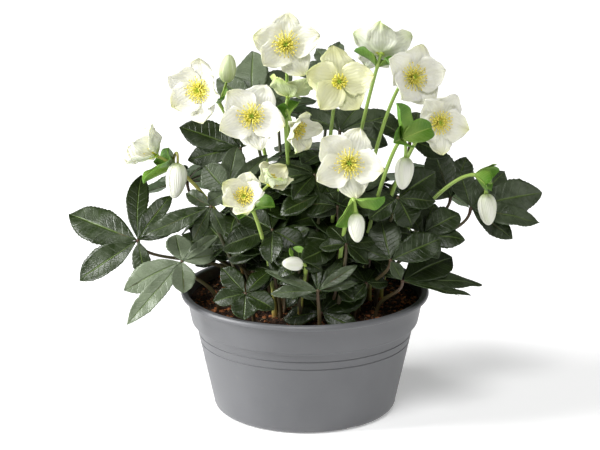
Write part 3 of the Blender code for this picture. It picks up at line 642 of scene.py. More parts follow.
def assemble(name, blades, stem, materials, thickness):
    """Thicken the blades and join the stem that carries them, in the third material."""
    piece = object_from(blades, name)
    wear(piece, *materials)
    thicken(piece, thickness)
    tube = object_from(stem, name + "_stem")
    wear(tube, *materials)
    for face in tube.data.polygons:
        face.material_index = STEM_MATERIAL
    pick(piece, tube)
    bpy.ops.object.join()
    return piece


def new_group(name, inputs, outputs):
    """A shader node group, returned with what it is given and the node it hands on to."""
    group = bpy.data.node_groups.new(name, "ShaderNodeTree")
    for title, value in inputs:
        socket = group.interface.new_socket(title, in_out="INPUT", socket_type="NodeSocketFloat")
        socket.default_value = value
    for title in outputs:
        group.interface.new_socket(title, in_out="OUTPUT", socket_type="NodeSocketFloat")
    given = group.nodes.new("NodeGroupInput").outputs
    return group, given, group.nodes.new("NodeGroupOutput")


def blade_axes(tree):
    """How far across and how far along a blade or a stem the surface lies."""
    surface = node(tree, "UVMap").outputs["UV"]
    split = node(tree, "SeparateXYZ", {"Vector": surface}).outputs
    return split["X"], split["Y"]


# Veins: a midrib and side veins that run forward to the margin, with a net between them.
veins, given, handed_on = new_group(
    "leaf_veins", (("Pairs", 9.0), ("Slant", 2.2), ("Width", 0.12), ("Net", 460.0)),
    ("Midrib", "Side veins", "Relief"))
across, along = blade_axes(veins)
off_middle = maths(veins, "ABSOLUTE", maths(veins, "SUBTRACT", across, 0.5))
midrib = remap(veins, off_middle, (0.045, 0.0), kind="SMOOTHSTEP")
slanted = maths(veins, "MULTIPLY", off_middle, given["Slant"])
phase = maths(veins, "SUBTRACT", maths(veins, "MULTIPLY", along, given["Pairs"]), slanted)
wobble = maths(veins, "MULTIPLY_ADD", speckle(veins, 60.0), 0.9, phase)
line = remap(veins, maths(veins, "PINGPONG", wobble, 0.5), (given["Width"], 0.0),
             kind="SMOOTHSTEP")
place = node(veins, "TexCoord").outputs["Object"]
net = node(veins, "TexVoronoi", {"Vector": place, "Scale": given["Net"]},
           feature="DISTANCE_TO_EDGE")
pucker = remap(veins, net.outputs["Distance"], (0.0, 0.35), (0.0, 0.14), "SMOOTHSTEP")
less_line = maths(veins, "MULTIPLY_ADD", line, -0.32, pucker)
feed(handed_on, {"Midrib": midrib, "Side veins": line,
                 "Relief": maths(veins, "MULTIPLY_ADD", midrib, -1.2, less_line)})


def leaf_material(name, dark, pale, rib_colour, roughness, relief):
    """Leaf skin: its green shifts from dark to grey with bloom, and its veins are lighter."""
    made, tree, shader = new_material(name, dark, roughness, 0.27)
    mottle = speckle(tree, 75.0, 6.0, Roughness=0.62)
    patch = remap(tree, mottle, (0.3, 0.7), (-0.17, 0.11))
    grey = maths(tree, "ADD", painted(tree, "bloom"), patch, use_clamp=True)
    vein = node(tree, "Group", node_tree=veins).outputs
    faint = maths(tree, "MULTIPLY", vein["Side veins"], 0.09)
    lines = maths(tree, "MULTIPLY_ADD", vein["Midrib"], 0.75, faint, use_clamp=True)
    skin = blend(tree, grey, (*dark, 1), (*pale, 1))
    feed(shader, {"Base Color": blend(tree, lines, skin, (*rib_colour, 1)),
                  "Roughness": remap(tree, mottle, result=(roughness - 0.10, roughness + 0.14))})
    roughen(shader, vein["Relief"], relief, 0.0009)
    return made


def stem_material(name, green, flushed, roughness):
    """Stem skin: green that flushes red-brown by the amount painted on it, and is ribbed."""
    made, tree, shader = new_material(name, green, roughness)
    spread = maths(tree, "MULTIPLY_ADD", speckle(tree, 260.0, 5.0), 0.7, painted(tree, "flush"))
    share = maths(tree, "SUBTRACT", spread, 0.35, use_clamp=True)
    feed(shader, {"Base Color": blend(tree, share, (*green, 1), (*flushed, 1))})
    ribs = maths(tree, "SINE", maths(tree, "MULTIPLY", blade_axes(tree)[0], 12 * 2 * math.pi))
    roughen(shader, ribs, 0.35, 0.0003)
    return made


leaf_top = leaf_material("leaf_upper_skin", (0.0100, 0.0190, 0.0025), (0.190, 0.230, 0.150),
                         (0.080, 0.125, 0.024), 0.29, 0.65)
leaf_under = leaf_material("leaf_underside", (0.060, 0.105, 0.030), (0.20, 0.27, 0.18),
                           (0.18, 0.25, 0.08), 0.55, 0.45)
petiole_skin = stem_material("petiole_skin", (0.042, 0.060, 0.012), (0.058, 0.020, 0.010), 0.55)


def grow_leaf(name, root, hub, facing, bloom, leaflets, seed, sheet, cad_node=None):
    """One leaf in its settled place, as one piece: blades, their ribs, hub and petiole."""
    chance = random.Random(seed)
    normal = Vector(facing).normalized()
    up, right = face_axes(normal, UP)
    hub = Vector(hub) + UP * POT_HEIGHT
    foot = root_point(root)
    rise = (hub - foot).length
    arrive = (normal * 0.55 + up * 0.45).normalized()
    ends = (foot, foot + UP * rise * 0.45, hub - arrive * rise * 0.30, hub - normal * HUB_DEPTH)
    rays = [(spoke_at(up, right, math.radians(angle)), length * .001, width * .001)
            for angle, length, width in leaflets]
    move = Matrix.Identity(4)
    if cad_node:
        tips = [hub]
        for direction, length, width in rays:
            start = hub + direction * 0.002 - normal * HUB_DEPTH / 2
            tips.append(blade_point(start, direction, normal, length, LEAF_DROOP, 1.0))
        move = settled(foot, [(cad_node, tips)])
    blades = bmesh.new()
    stem = bmesh.new()
    flush = stem.verts.layers.float.new("flush")
    shares = even_shares(RIB_RINGS)
    for direction, length, width in rays:
        droop = LEAF_DROOP + chance.uniform(-12, 10)
        tipped = (normal + direction * chance.uniform(-0.10, 0.10)).normalized()
        lean = (direction - tipped * direction.dot(tipped)).normalized()
        start = hub + direction * 0.0012 - normal * 0.0006
        blade = {"start": start, "direction": lean, "normal": tipped, "length": length,
                 "width": width * 1.12, "bend": droop, "narrow": 1.10, "blunt": 0.92,
                 "fold": chance.uniform(0.10, 0.26), "cup": chance.uniform(-0.16, 0.06),
                 "teeth": round(length / TOOTH_PITCH), "tooth_depth": 0.075,
                 "wave": chance.uniform(0.0003, 0.0011), "rib": 0.00022,
                 "sway": 0.06, "twist": 22, "bloom": bloom, "fade": 0.04}
        add_blade(blades, sheet, blade, chance)
        line = [blade_point(start, lean, tipped, length * 0.9, droop * 0.9, share)
                - tipped * 0.0011 for share in shares]
        last = RIB_RINGS - 1
        ways = [(line[min(i + 1, last)] - line[max(i - 1, 0)]).normalized()
                for i in range(RIB_RINGS)]
        thick = [RIB_RADIUS * (1 - share * 0.8) for share in shares]
        tube_rings(stem, line, ways, thick, 6, tipped)
    thick = [PETIOLE_RADIUS * (1.35 - 0.45 * share + 0.25 * max(0, share - 0.92) / 0.08)
             for share in even_shares(27)]
    curved_tube(stem, ends, thick, 10, right, sink=FOOT_SINK)
    bmesh.ops.create_icosphere(stem, subdivisions=2, radius=0.0017,
                               matrix=Matrix.Translation(hub - normal * 0.0014))
    for corner in stem.verts:
        near = math.exp(-((corner.co - hub).length / 0.022) ** 2)
        low = max(0.0, 1 - (corner.co.z - foot.z) / (rise * 0.8 + 0.001))
        corner[flush] = min(1.0, 0.15 + 0.6 * near + 0.55 * low)
    for face in stem.faces:
        face.smooth = True
    blades.transform(move)
    stem.transform(move)
    return assemble(name, blades, stem, (leaf_top, leaf_under, petiole_skin), LEAF_THICKNESS)


leaflet_sheet = flat_sheet(10, 40)
for seed, (cad_node, root, hub, facing, bloom, leaflets) in enumerate(LEAVES):
    name = "grown_" + cad_node
    leaf = grow_leaf(name, root, hub, facing, bloom, leaflets, seed + 40, leaflet_sheet, cad_node)
    finish_piece(leaf, name, "leaf", cad_node)

# ---- inner leaves ---------------------------------------------------------------------
# Between the large leaves the crowns carry many shorter ones, in layers over one another.
# They are made like the large leaves, with coarser blades, and fill the dome of foliage.
DOME_MIDDLE = Vector((0.004, 0.016, 0.125))
DOME_REACH = Vector((0.118, 0.104, 0.172))
# elevation on the dome, leaves in that ring, the first one's bearing, how far out, size
DOME_RINGS = ((2, 15, 10, 0.98, 0.95), (20, 15, 24, 0.95, 1.05), (38, 13, 2, 0.90, 1.05),
              (56, 10, 30, 0.86, 1.0), (74, 6, 15, 0.80, 0.9))
# short leaves close over the compost, at the front and all round: hub over the rim, spin, size
LOW_LEAVES = (((-.004, -.088, .026), -25, .48), ((.030, -.084, .028), 10, .54),
              ((.060, -.078, .030), -15, .52), ((.012, -.080, .040), 40, .55),
              ((-.030, -.076, .040), -10, .55), ((.064, -.052, .048), 20, .70),
              ((.034, -.058, .056), -20, .72), ((-.036, -.058, .060), 15, .70),
              ((-.008, -.058, .052), 30, .70), ((.088, -.034, .050), -10, .66),
              ((-.066, -.026, .052), 25, .66), ((-.030, -.020, .048), -15, .75),
              ((.008, -.028, .050), 5, .75), ((.046, -.018, .048), 35, .75),
              ((-.058, .020, .050), -20, .72), ((-.016, .026, .052), 10, .75),
              ((.034, .030, .050), 40, .75), ((.076, .014, .052), -30, .70),
              ((.040, -.092, .074), 25, .58), ((-.006, -.094, .058), -20, .50),
              ((-.062, .068, .030), 10, .66), ((-.020, .088, .030), -20, .68),
              ((.028, .086, .032), 15, .66), ((.066, .062, .032), -10, .68),
              ((-.004, .066, .050), 25, .75), ((.044, .052, .052), -15, .72),
              ((-.044, .054, .052), 30, .72), ((-.086, .030, .032), -5, .62))
EDGE_MARGIN = 0.004
OPEN_SIDE = Vector((-0.045, -0.050, POT_HEIGHT + 0.020))
inner_sheet = flat_sheet(6, 18)
chance = random.Random(5)
inner_leaves = []


def is_clear(leaf):
    """Whether a leaf keeps out of the pot's wall and off the side where the compost is bare."""
    for corner in leaf.data.vertices:
        place = corner.co
        reach = place.xy.length
        over_edge = COMPOST_EDGE_RADIUS - EDGE_MARGIN < reach < RIM_RADIUS + EDGE_MARGIN
        if place.z < POT_HEIGHT + 0.001 and over_edge:
            return False
        if all(place[axis] < OPEN_SIDE[axis] for axis in range(3)):
            return False
    return True


def add_inner_leaf(root, hub, facing, bloom, leaflets):
    number = len(inner_leaves)
    leaf = grow_leaf("inner_leaf_%d" % number, root, hub, facing, bloom, leaflets, 200 + number,
                     inner_sheet)
    if is_clear(leaf):
        inner_leaves.append(leaf)
    else:
        bpy.data.objects.remove(leaf)


for elevation, count, first_bearing, reach, size in DOME_RINGS:
    for index in range(count):
        bearing = math.radians(first_bearing + 360 * index / count + chance.uniform(-8, 8))
        lift = math.radians(elevation + chance.uniform(-6, 6))
        ray = Vector((math.cos(bearing) * math.cos(lift), math.sin(bearing) * math.cos(lift),
                      math.sin(lift)))
        spread = reach * chance.uniform(0.88, 1.04)
        hub = DOME_MIDDLE + Vector((ray[i] * DOME_REACH[i] for i in range(3))) * spread
        hub.z -= POT_HEIGHT
        facing = (ray * 0.62 + UP * 0.60 + Vector((chance.uniform(-0.2, 0.2),
                                                   chance.uniform(-0.2, 0.2), 0)))
        spin = chance.uniform(-25, 25)
        leaflets = []
        for step in range(5):
            angle = spin + (step - 2) * 52 + chance.uniform(-7, 7)
            length = (54 - 4.5 * abs(step - 2)) * size * chance.uniform(0.85, 1.1)
            leaflets.append((angle, length, length * chance.uniform(0.46, 0.54)))
        add_inner_leaf((hub.x * 0.55, hub.y * 0.55), hub, facing, chance.uniform(-0.04, 0.12),
                       leaflets)
for hub, spin, size in LOW_LEAVES:
    leaflets = []
    for step in range(5):
        length = (54 - 4 * abs(step - 2)) * size * chance.uniform(0.88, 1.1)
        leaflets.append((spin + (step - 2) * 58 + chance.uniform(-8, 8), length,
                         length * chance.uniform(0.52, 0.62)))
    facing = (hub[0] * 2 + chance.uniform(-0.2, 0.2), -0.62 if hub[1] < 0.032 else 0.62, 0.72)
    add_inner_leaf((hub[0] * 0.8, hub[1] * 0.88), hub, facing, chance.uniform(-0.14, -0.04),
                   leaflets)
half = len(inner_leaves) // 2
for group, name, cad_node in ((inner_leaves[:half], "inner_leaves_upper", "leaf_middle"),
                              (inner_leaves[half:], "inner_leaves_lower", "leaf_middle_low")):
    pick(*group)
    bpy.ops.object.join()
    finish_piece(group[0], name, "leaf", cad_node)

# ---- root fibres ----------------------------------------------------------------------
# Thin pale root hairs and straws, mixed through the peat when it was bagged, curl out of
# the compost between the crumbs and lie loose on it.
FIBRE_COUNT = 110
FIBRE_RADII = [0.00022, 0.00020, 0.00018, 0.00018, 0.00016, 0.00014, 0.00010]
chance = random.Random(31)
fibres = bmesh.new()
for index in range(FIBRE_COUNT):
    radius = (COMPOST_EDGE_RADIUS - 0.010) * math.sqrt(chance.random())
    turn = chance.uniform(0, 2 * math.pi)
    x, y = radius * math.cos(turn), radius * math.sin(turn)
    start = Vector((x, y, compost_height(radius) + lumps(x, y) - 0.0005))
    heading = chance.uniform(0, 2 * math.pi)
    along = Vector((math.cos(heading), math.sin(heading), 0)) * chance.uniform(0.004, 0.010)
    curl = UP * chance.uniform(0.002, 0.006)
    ends = (start, start + along * 0.3 + curl, start + along * 0.8 + curl, start + along)
    curved_tube(fibres, ends, FIBRE_RADII, 3, Vector((0.1, 0.2, 1)))
root_fibres = object_from(fibres, "root_fibres")
straw, tree, shader = new_material("root_fibre", (0.36, 0.26, 0.13), 0.7)
feed(shader, {"Base Color": ramp(tree, speckle(tree, 160.0), (0.0, (0.20, 0.12, 0.05)),
                                 (1.0, (0.50, 0.40, 0.22)))})
wear(root_fibres, straw)
finish_piece(root_fibres, "root_fibres", "compost", "compost")

# ---- flower stalks --------------------------------------------------------------------
# Stout, juicy stalks, yellow-green and flushed brown at the foot.  Near the top each has a
# node with leafy bracts, where some of them fork, and below its flower it bends outwards.
STALK_RADIUS = 0.0022
FORK_RADIUS = 0.0015
STALK_NODE = 0.0034
BRACT_LENGTH = 0.029
BRACT_WIDTH = 0.0185
BRACT_DROOP = 16
SEPAL_LENGTH = 0.033
SEPAL_CURL = 16
RECEPTACLE_RADIUS = 0.0027
RECEPTACLE_LENGTH = 0.0028
BUD_LENGTH = 0.030
CLOSED = 90
BRACT_THICKNESS = 0.0004
FLUSH_REACH = 0.055
STALK_SEAM = Vector((0.1, 1, 0))

# name, root, bract angles, how far up the bracts sit, flush, and the heads as
# (name, centre, facing, open angle or CLOSED for a bud, size, turn, greenness)
STALKS = (
    ("top_left", (-.014, .016), (200,), .84, .0,
     (("flower_top_left", (-.019, .026, .243), (.00, -.88, .42), 22, 1.02, 4, .22),)),
    ("upper_left", (-.040, .024), (40,), .74, .1,
     (("flower_upper_left", (-.102, .000, .205), (-.42, -.86, .14), 34, 1.00, 10, .05),
      ("bud_upper_left", (-.078, .012, .210), (.12, -.10, .98), CLOSED, 0.95, 0, .62))),
    ("left_front", (-.022, -.018), (150,), .70, .0,
     (("flower_left_front", (-.051, -.042, .188), (-.10, -.94, .30), 24, 1.02, 24, .05),)),
    ("centre_yellow", (.016, .000), (30,), .76, .0,
     (("flower_centre_yellow", (.033, -.022, .218), (.05, -.95, .26), 18, 1.00, 0, .72),)),
    ("top_right", (.036, .030), (250, 120), .86, .0,
     (("flower_top_right", (.076, .050, .229), (.12, .84, .46), 30, 1.00, 0, .15),)),
    ("upper_right", (.050, .002), (110, 250), .84, -.15,
     (("flower_upper_right", (.104, -.004, .218), (.40, -.86, .30), 30, 1.02, 16, .05),)),
    ("right", (.064, -.014), (80,), .80, .0,
     (("flower_right", (.130, -.022, .178), (.30, -.94, .10), 30, 0.92, 36, .10),)),
    ("front", (.018, -.028), (200,), .62, .0,
     (("flower_front", (.042, -.084, .152), (.00, -.95, .28), 20, 1.05, 24, .12),)),
    ("middle", (-.008, -.010), (330, 150), .80, .0,
     (("flower_middle", (-.017, -.010, .199), (.26, .44, .86), 40, 0.82, 0, .60),
      ("flower_middle_low", (-.012, -.050, .180), (.62, -.66, -.30), 48, 0.78, 0, .15))),
    ("left_low", (-.030, -.062), (330, 60), .74, .1,
     (("flower_left_low", (-.057, -.096, .120), (-.20, -.80, .55), 50, 0.82, 8, .25),
      ("flower_left_low_back", (-.036, -.072, .127), (.50, -.30, .80), 58, 0.70, 0, .45))),
    ("far_left", (-.060, .004), (290, 200, 30), .80, .45,
     (("flower_far_left", (-.146, -.008, .139), (-.78, .20, .55), 56, 0.95, 0, .08),
      ("bud_left", (-.125, -.034, .139), (-.12, -.04, -.99), CLOSED, 1.18, 0, .05))),
    ("right_bud", (.052, -.040), (150, 240, 330), .80, .0,
     (("bud_right", (.097, -.072, .155), (-.10, -.06, -.99), CLOSED, 1.05, 0, .05),)),
    ("front_bud", (.030, -.066), (60, 230), .86, .0,
     (("bud_front", (.048, -.108, .109), (.08, -.20, -.97), CLOSED, 0.92, 0, .08),)),
    ("far_right_bud", (.076, -.004), (170, 250, 330), .80, .05,
     (("bud_far_right", (.179, -.024, .105), (.10, -.08, -.99), CLOSED, 1.05, 0, .10),)),
    ("low_bud", (-.006, -.082), (200,), .70, .1,
     (("bud_low", (-.008, -.102, .056), (-.90, -.30, .22), CLOSED, 0.74, 0, .05),)),
)


def head_axes(axis):
    return face_axes(axis, UP if abs(axis.z) < 0.95 else Vector((0, 1, 0)))


def sepal_frame(centre, axis, open_angle, size, bearing):
    """Where one sepal starts, the way it runs, and the way its face looks."""
    up, right = head_axes(axis)
    turn = math.radians(bearing)
    rise = math.radians(open_angle)
    spoke = spoke_at(up, right, turn)
    start = centre + axis * RECEPTACLE_LENGTH * size * 0.5
    start = start + spoke * RECEPTACLE_RADIUS * size * 0.7
    return (start, spoke * math.cos(rise) + axis * math.sin(rise),
            axis * math.cos(rise) - spoke * math.sin(rise))


stalk_skin = stem_material("flower_stalk_skin", (0.265, 0.400, 0.075), (0.300, 0.115, 0.040),
                           0.42)
bract_skin = leaf_material("bract_skin", (0.080, 0.200, 0.014), (0.380, 0.500, 0.120),
                           (0.40, 0.52, 0.12), 0.42, 0.60)
bract_sheet = flat_sheet(8, 16)
heads_to_grow = []
for seed, (name, root, bract_angles, node_share, flushed, heads) in enumerate(STALKS):
    chance = random.Random(900 + seed)
    foot = root_point(root)
    tops = []
    probes = []
    for head_name, centre, facing, open_angle, size, turn, green in heads:
        axis = Vector(facing).normalized()
        place = Vector(centre) + UP * POT_HEIGHT
        tops.append((place - axis * GAP, axis))
        if open_angle == CLOSED:
            points = [place, place + axis * BUD_LENGTH * size]
        else:
            points = [place]
            for index in range(5):
                start, along, normal = sepal_frame(place, axis, open_angle, size,
                                                   turn + 72 * index)
                points.append(blade_point(start, along, normal, SEPAL_LENGTH * size,
                                          SEPAL_CURL, 1.0))
        probes.append((head_name, points))
    move = settled(foot, probes)
    for head_name, centre, facing, open_angle, size, turn, green in heads:
        heads_to_grow.append((head_name, Vector(centre) + UP * POT_HEIGHT,
                              Vector(facing).normalized(), open_angle, size, turn, green, move))
    top, axis = tops[0]
    rise = (top - foot).length
    pull = rise * (0.16 if axis.z > -0.5 else 0.14)
    neck = UP * pull * (1.9 if axis.z < -0.5 else 0.35)
    ends = (foot, foot + UP * rise * 0.42, top - axis * pull + neck, top)
    middle = bezier(ends, node_share)
    direction = bezier_direction(ends, node_share)
    stem = bmesh.new()
    flush = stem.verts.layers.float.new("flush")
    bracts = bmesh.new()
    bracts.verts.layers.float.new("flush")
    thick = []
    for share in even_shares(45):
        slim = STALK_RADIUS * (1.05 - 0.35 * share)
        slim *= 1 + 0.30 * math.exp(-((share - node_share) * rise / 0.0035) ** 2)
        slim *= 1 + 0.35 * math.exp(-(share * rise / 0.006) ** 2)
        slim *= 1 + 0.30 * math.exp(-((1 - share) * rise / 0.003) ** 2)
        thick.append(slim)
    curved_tube(stem, ends, thick, 14, STALK_SEAM, last_way=axis, sink=FOOT_SINK)
    for head_top, head_axis in tops[1:]:
        reach = head_top - middle
        outward = (reach - direction * reach.dot(direction)).normalized()
        start = middle + direction * STALK_NODE * 0.5
        span = (head_top - start).length
        lift = UP * span * (0.55 if head_axis.z < -0.2 else 0.10)
        branch = (start, start + (outward + direction * 0.8) * span * 0.3,
                  head_top - head_axis * span * 0.30 + lift, head_top)
        thick = [FORK_RADIUS * (1.0 - 0.15 * share) for share in even_shares(19)]
        curved_tube(stem, branch, thick, 10, STALK_SEAM, last_way=head_axis)
    for angle in bract_angles:
        turn = math.radians(angle)
        wanted = Vector((math.sin(turn), -math.cos(turn), 0.0))
        outward = (wanted - direction * wanted.dot(direction)).normalized()
        longer = chance.uniform(0.90, 1.12) * (1.22 if len(bract_angles) == 3 else 1.0)
        blade = {"start": middle + outward * STALK_RADIUS * 0.6,
                 "direction": (outward * 0.80 + direction * 0.60).normalized(),
                 "normal": (direction * 0.80 - outward * 0.60).normalized(),
                 "length": BRACT_LENGTH * longer, "width": BRACT_WIDTH * longer,
                 "bend": BRACT_DROOP + chance.uniform(-6, 14), "narrow": 0.75, "blunt": 0.70,
                 "fold": 0.32, "cup": 0.45, "teeth": 0, "tooth_depth": 0,
                 "wave": 0.0008, "rib": 0.00015, "sway": 0.08, "twist": 18,
                 "bloom": chance.uniform(0.35, 0.60), "fade": -0.50}
        add_blade(bracts, bract_sheet, blade, chance)
    for corner in stem.verts:
        low = max(0.0, 1 - (corner.co.z - foot.z) / FLUSH_REACH)
        corner[flush] = max(0.0, flushed + 0.65 * low ** 1.5)
    stem.transform(move)
    bracts.transform(move)
    stalk = assemble("grown_stalk_" + name, bracts, stem, (bract_skin, bract_skin, stalk_skin),
                     BRACT_THICKNESS)
    finish_piece(stalk, "grown_stalk_" + name, "stalk", "stalk_" + name)

# ---- open flowers ---------------------------------------------------------------------
# Five broad sepals that overlap round the receptacle, cream white with fine veins and
# green towards the base.  The underside is greener and keeps its colour along the ribs.
SEPAL_WIDTH = 0.0325
SEPAL_THICKNESS = 0.00030
SEPAL_NARROW = 0.60
SEPAL_BLUNT = 0.78
sepal_sheet = flat_sheet(16, 22)

sepal_veins, given, handed_on = new_group("sepal_veins", (), ("Vein", "Relief"))
strung = maths(sepal_veins, "MULTIPLY", blade_axes(sepal_veins)[0], 62.0)
wobble = maths(sepal_veins, "MULTIPLY_ADD", speckle(sepal_veins, 110.0, 3.0), 5.0, strung)
wave = maths(sepal_veins, "SINE", wobble)
feed(handed_on, {"Vein": remap(sepal_veins, wave, (0.45, 1.0), kind="SMOOTHSTEP"),
                 "Relief": wave})


def sepal_material(name, white, green, vein_colour, roughness):
    """Sepal skin, from cream white to green by the amount painted on it, with faint veins, and a
    faint glow in its own colour that is painted light brightening its shade.
    """
    made, tree, shader = new_material(name, white, roughness, 0.35)
    cloud = speckle(tree, 90.0, 4.0)
    uneven = maths(tree, "MULTIPLY_ADD", cloud, 0.30, painted(tree, "tint"))
    amount = maths(tree, "SUBTRACT", uneven, 0.15, use_clamp=True)
    vein = node(tree, "Group", node_tree=sepal_veins).outputs
    faint = maths(tree, "MULTIPLY", vein["Vein"], 0.10)
    skin = blend(tree, amount, (*white, 1), (*green, 1))
    veined = blend(tree, faint, skin, (*vein_colour, 1))
    # The emission below is painted light: the sepals glow faintly in their own colour, so their
    # shaded parts look lit.
    feed(shader, {"Base Color": veined, "Emission Color": veined, "Emission Strength": 0.08,
                  "Subsurface Weight": 0.25, "Subsurface Scale": 0.004,
                  "Subsurface Radius": (1.0, 1.0, 0.6)})
    roughen(shader, maths(tree, "MULTIPLY_ADD", cloud, 2.2, vein["Relief"]), 0.22, 0.0006)
    return made


sepal_face = sepal_material("sepal_face", (0.70, 0.695, 0.620), (0.60, 0.60, 0.28),
                            (0.52, 0.54, 0.36), 0.50)
sepal_back = sepal_material("sepal_underside", (0.72, 0.72, 0.62), (0.42, 0.54, 0.15),
                            (0.46, 0.52, 0.26), 0.55)


def add_sepal(bm, sheet, tint, sepal, chance):
    """Bend a copy of a flat sheet into one broad, shallow sepal, and paint its green."""
    first = len(bm.verts)
    bm.from_mesh(sheet)
    bm.verts.ensure_lookup_table()
    side = sepal["direction"].cross(sepal["normal"]).normalized()
    start, direction, normal = sepal["start"], sepal["direction"], sepal["normal"]
    ripple = chance.uniform(0, 6.28)
    bulge = chance.uniform(0.8, 1.2)
    crease = Vector((chance.uniform(0, 9), chance.uniform(0, 9), 0))
    sway = chance.uniform(-0.10, 0.10)
    widest = SEPAL_NARROW / (SEPAL_NARROW + SEPAL_BLUNT)
    peak = widest ** SEPAL_NARROW * (1 - widest) ** SEPAL_BLUNT
    for corner in bm.verts[first:]:
        across, share = corner.co.x, (corner.co.y + 1) / 2
        outline = share ** SEPAL_NARROW * (1 - share) ** SEPAL_BLUNT / peak
        half = max(sepal["width"] / 2 * outline, 0.0006)
        ragged = noise.noise(Vector((share * 5.0, across * 0.8, 0)) + crease)
        ragged += 0.5 * noise.noise(Vector((share * 13.0, across * 0.8, 3)) + crease)
        half *= 1 + 0.15 * ragged
        point = blade_point(start, direction, normal, sepal["length"], sepal["bend"], share)
        tilt = math.radians(sepal["bend"]) * share
        out = normal * math.cos(tilt) + direction * math.sin(tilt)
        lift = sepal["cup"] * half * across ** 2 * bulge
        lift += 0.0035 * bulge * -math.sin(math.pi * share) * (1 - across ** 2) * 0.6
        lift += sepal["wave"] * across ** 2 * math.sin(share * 9 + ripple + across * 1.6)
        lift += 0.0030 * share * noise.noise(Vector((across * 1.6, share * 3.2, 0)) + crease)
        lift += 0.0012 * share * noise.noise(Vector((across * 4.0, share * 6.0, 4)) + crease)
        lift -= 0.0006 * math.exp(-(across * half / 0.0022) ** 2) * share
        corner.co = point + side * (across * half + sway * share ** 2 * sepal["length"])
        corner.co += out * lift
        base = math.exp(-(share / 0.20) ** 2)
        tip = max(0.0, (share - 0.58) / 0.42) ** 1.6
        rib = math.exp(-(across * half / 0.0035) ** 2)
        corner[tint] = min(1.0, sepal["green"] + 0.30 * base + sepal["tip"] * tip + 0.05 * rib)


def finish_head(bm, name, move):
    """Turn a flower's or a bud's sepals into its piece, in its settled place."""
    bm.transform(move)
    head = object_from(bm, "grown_" + name)
    wear(head, sepal_face, sepal_back)
    thicken(head, SEPAL_THICKNESS)
    finish_piece(head, "grown_" + name, "petal", name)


for seed, (name, centre, axis, open_angle, size, turn, green, move) in enumerate(heads_to_grow):
    if open_angle == CLOSED:
        continue
    chance = random.Random(300 + seed)
    flower = bmesh.new()
    tint = flower.verts.layers.float.new("tint")
    for order, index in enumerate((0, 2, 4, 1, 3)):
        bearing = turn + 72 * index + chance.uniform(-5, 5)
        rise = open_angle + (order - 2) * 2.2 + chance.uniform(-2, 2)
        start, direction, normal = sepal_frame(centre, axis, rise, size, bearing)
        length = SEPAL_LENGTH * size * chance.uniform(0.95, 1.05)
        sepal = {"start": start + axis * order * 0.0005, "direction": direction,
                 "normal": normal, "length": length,
                 "width": SEPAL_WIDTH * size * chance.uniform(0.93, 1.06),
                 "bend": SEPAL_CURL + chance.uniform(-8, 14) - order * 3,
                 "cup": (-0.08, -0.03, 0.06, 0.14, 0.18)[order], "wave": 0.0019,
                 "green": green, "tip": chance.uniform(0.05, 0.9)}
        add_sepal(flower, sepal_sheet, tint, sepal, chance)
    finish_head(flower, name, move)

# ---- stamens, nectaries and carpels ---------------------------------------------------
# A ring of some sixty stamens with bright yellow anthers on pale filaments stands in each
# open flower.  At their feet are small green nectary cups, and in the middle the carpels.
STAMEN_CIRCLE = 0.0016
# how many stamens stand in a ring, how far they splay from the axis, and their length
STAMEN_RINGS = ((9, 16, 0.0088), (15, 32, 0.0104), (19, 48, 0.0120), (21, 62, 0.0134))
FILAMENT_RADII = [0.00050, 0.00044, 0.00038, 0.00030]
ANTHER_SIZE = (0.0013, 0.0008, 0.0007)
NECTARY_COUNT = 11
NECTARY_CIRCLE = 0.0019
NECTARY_LENGTH = 0.0062
NECTARY_RADII = [0.0005, 0.0009, 0.0012, 0.0013]
CARPEL_COUNT = 5
CARPEL_LENGTH = 0.0098
CARPEL_BELLY = 0.0042
CARPEL_RADII = [0.0007, 0.0011, 0.0012, 0.0009, 0.0004, 0.0003, 0.00028, 0.0003]
RECEPTACLE_RADII = (0.0019, 0.0029, 0.0030, 0.0020)
anther_pollen, tree, shader = new_material("anther_pollen", (0.80, 0.66, 0.06), 0.8)
powder = speckle(tree, 1500.0, 3.0)
feed(shader, {"Base Color": ramp(tree, powder, (0.30, (0.72, 0.58, 0.05)),
                                 (0.70, (0.86, 0.78, 0.20)))})
roughen(shader, powder, 0.5, 0.0003)
filament_skin = stem_material("filament_skin", (0.84, 0.78, 0.16), (0.72, 0.72, 0.10), 0.5)
carpel_skin = stem_material("carpel_skin", (0.50, 0.66, 0.10), (0.66, 0.62, 0.04), 0.5)
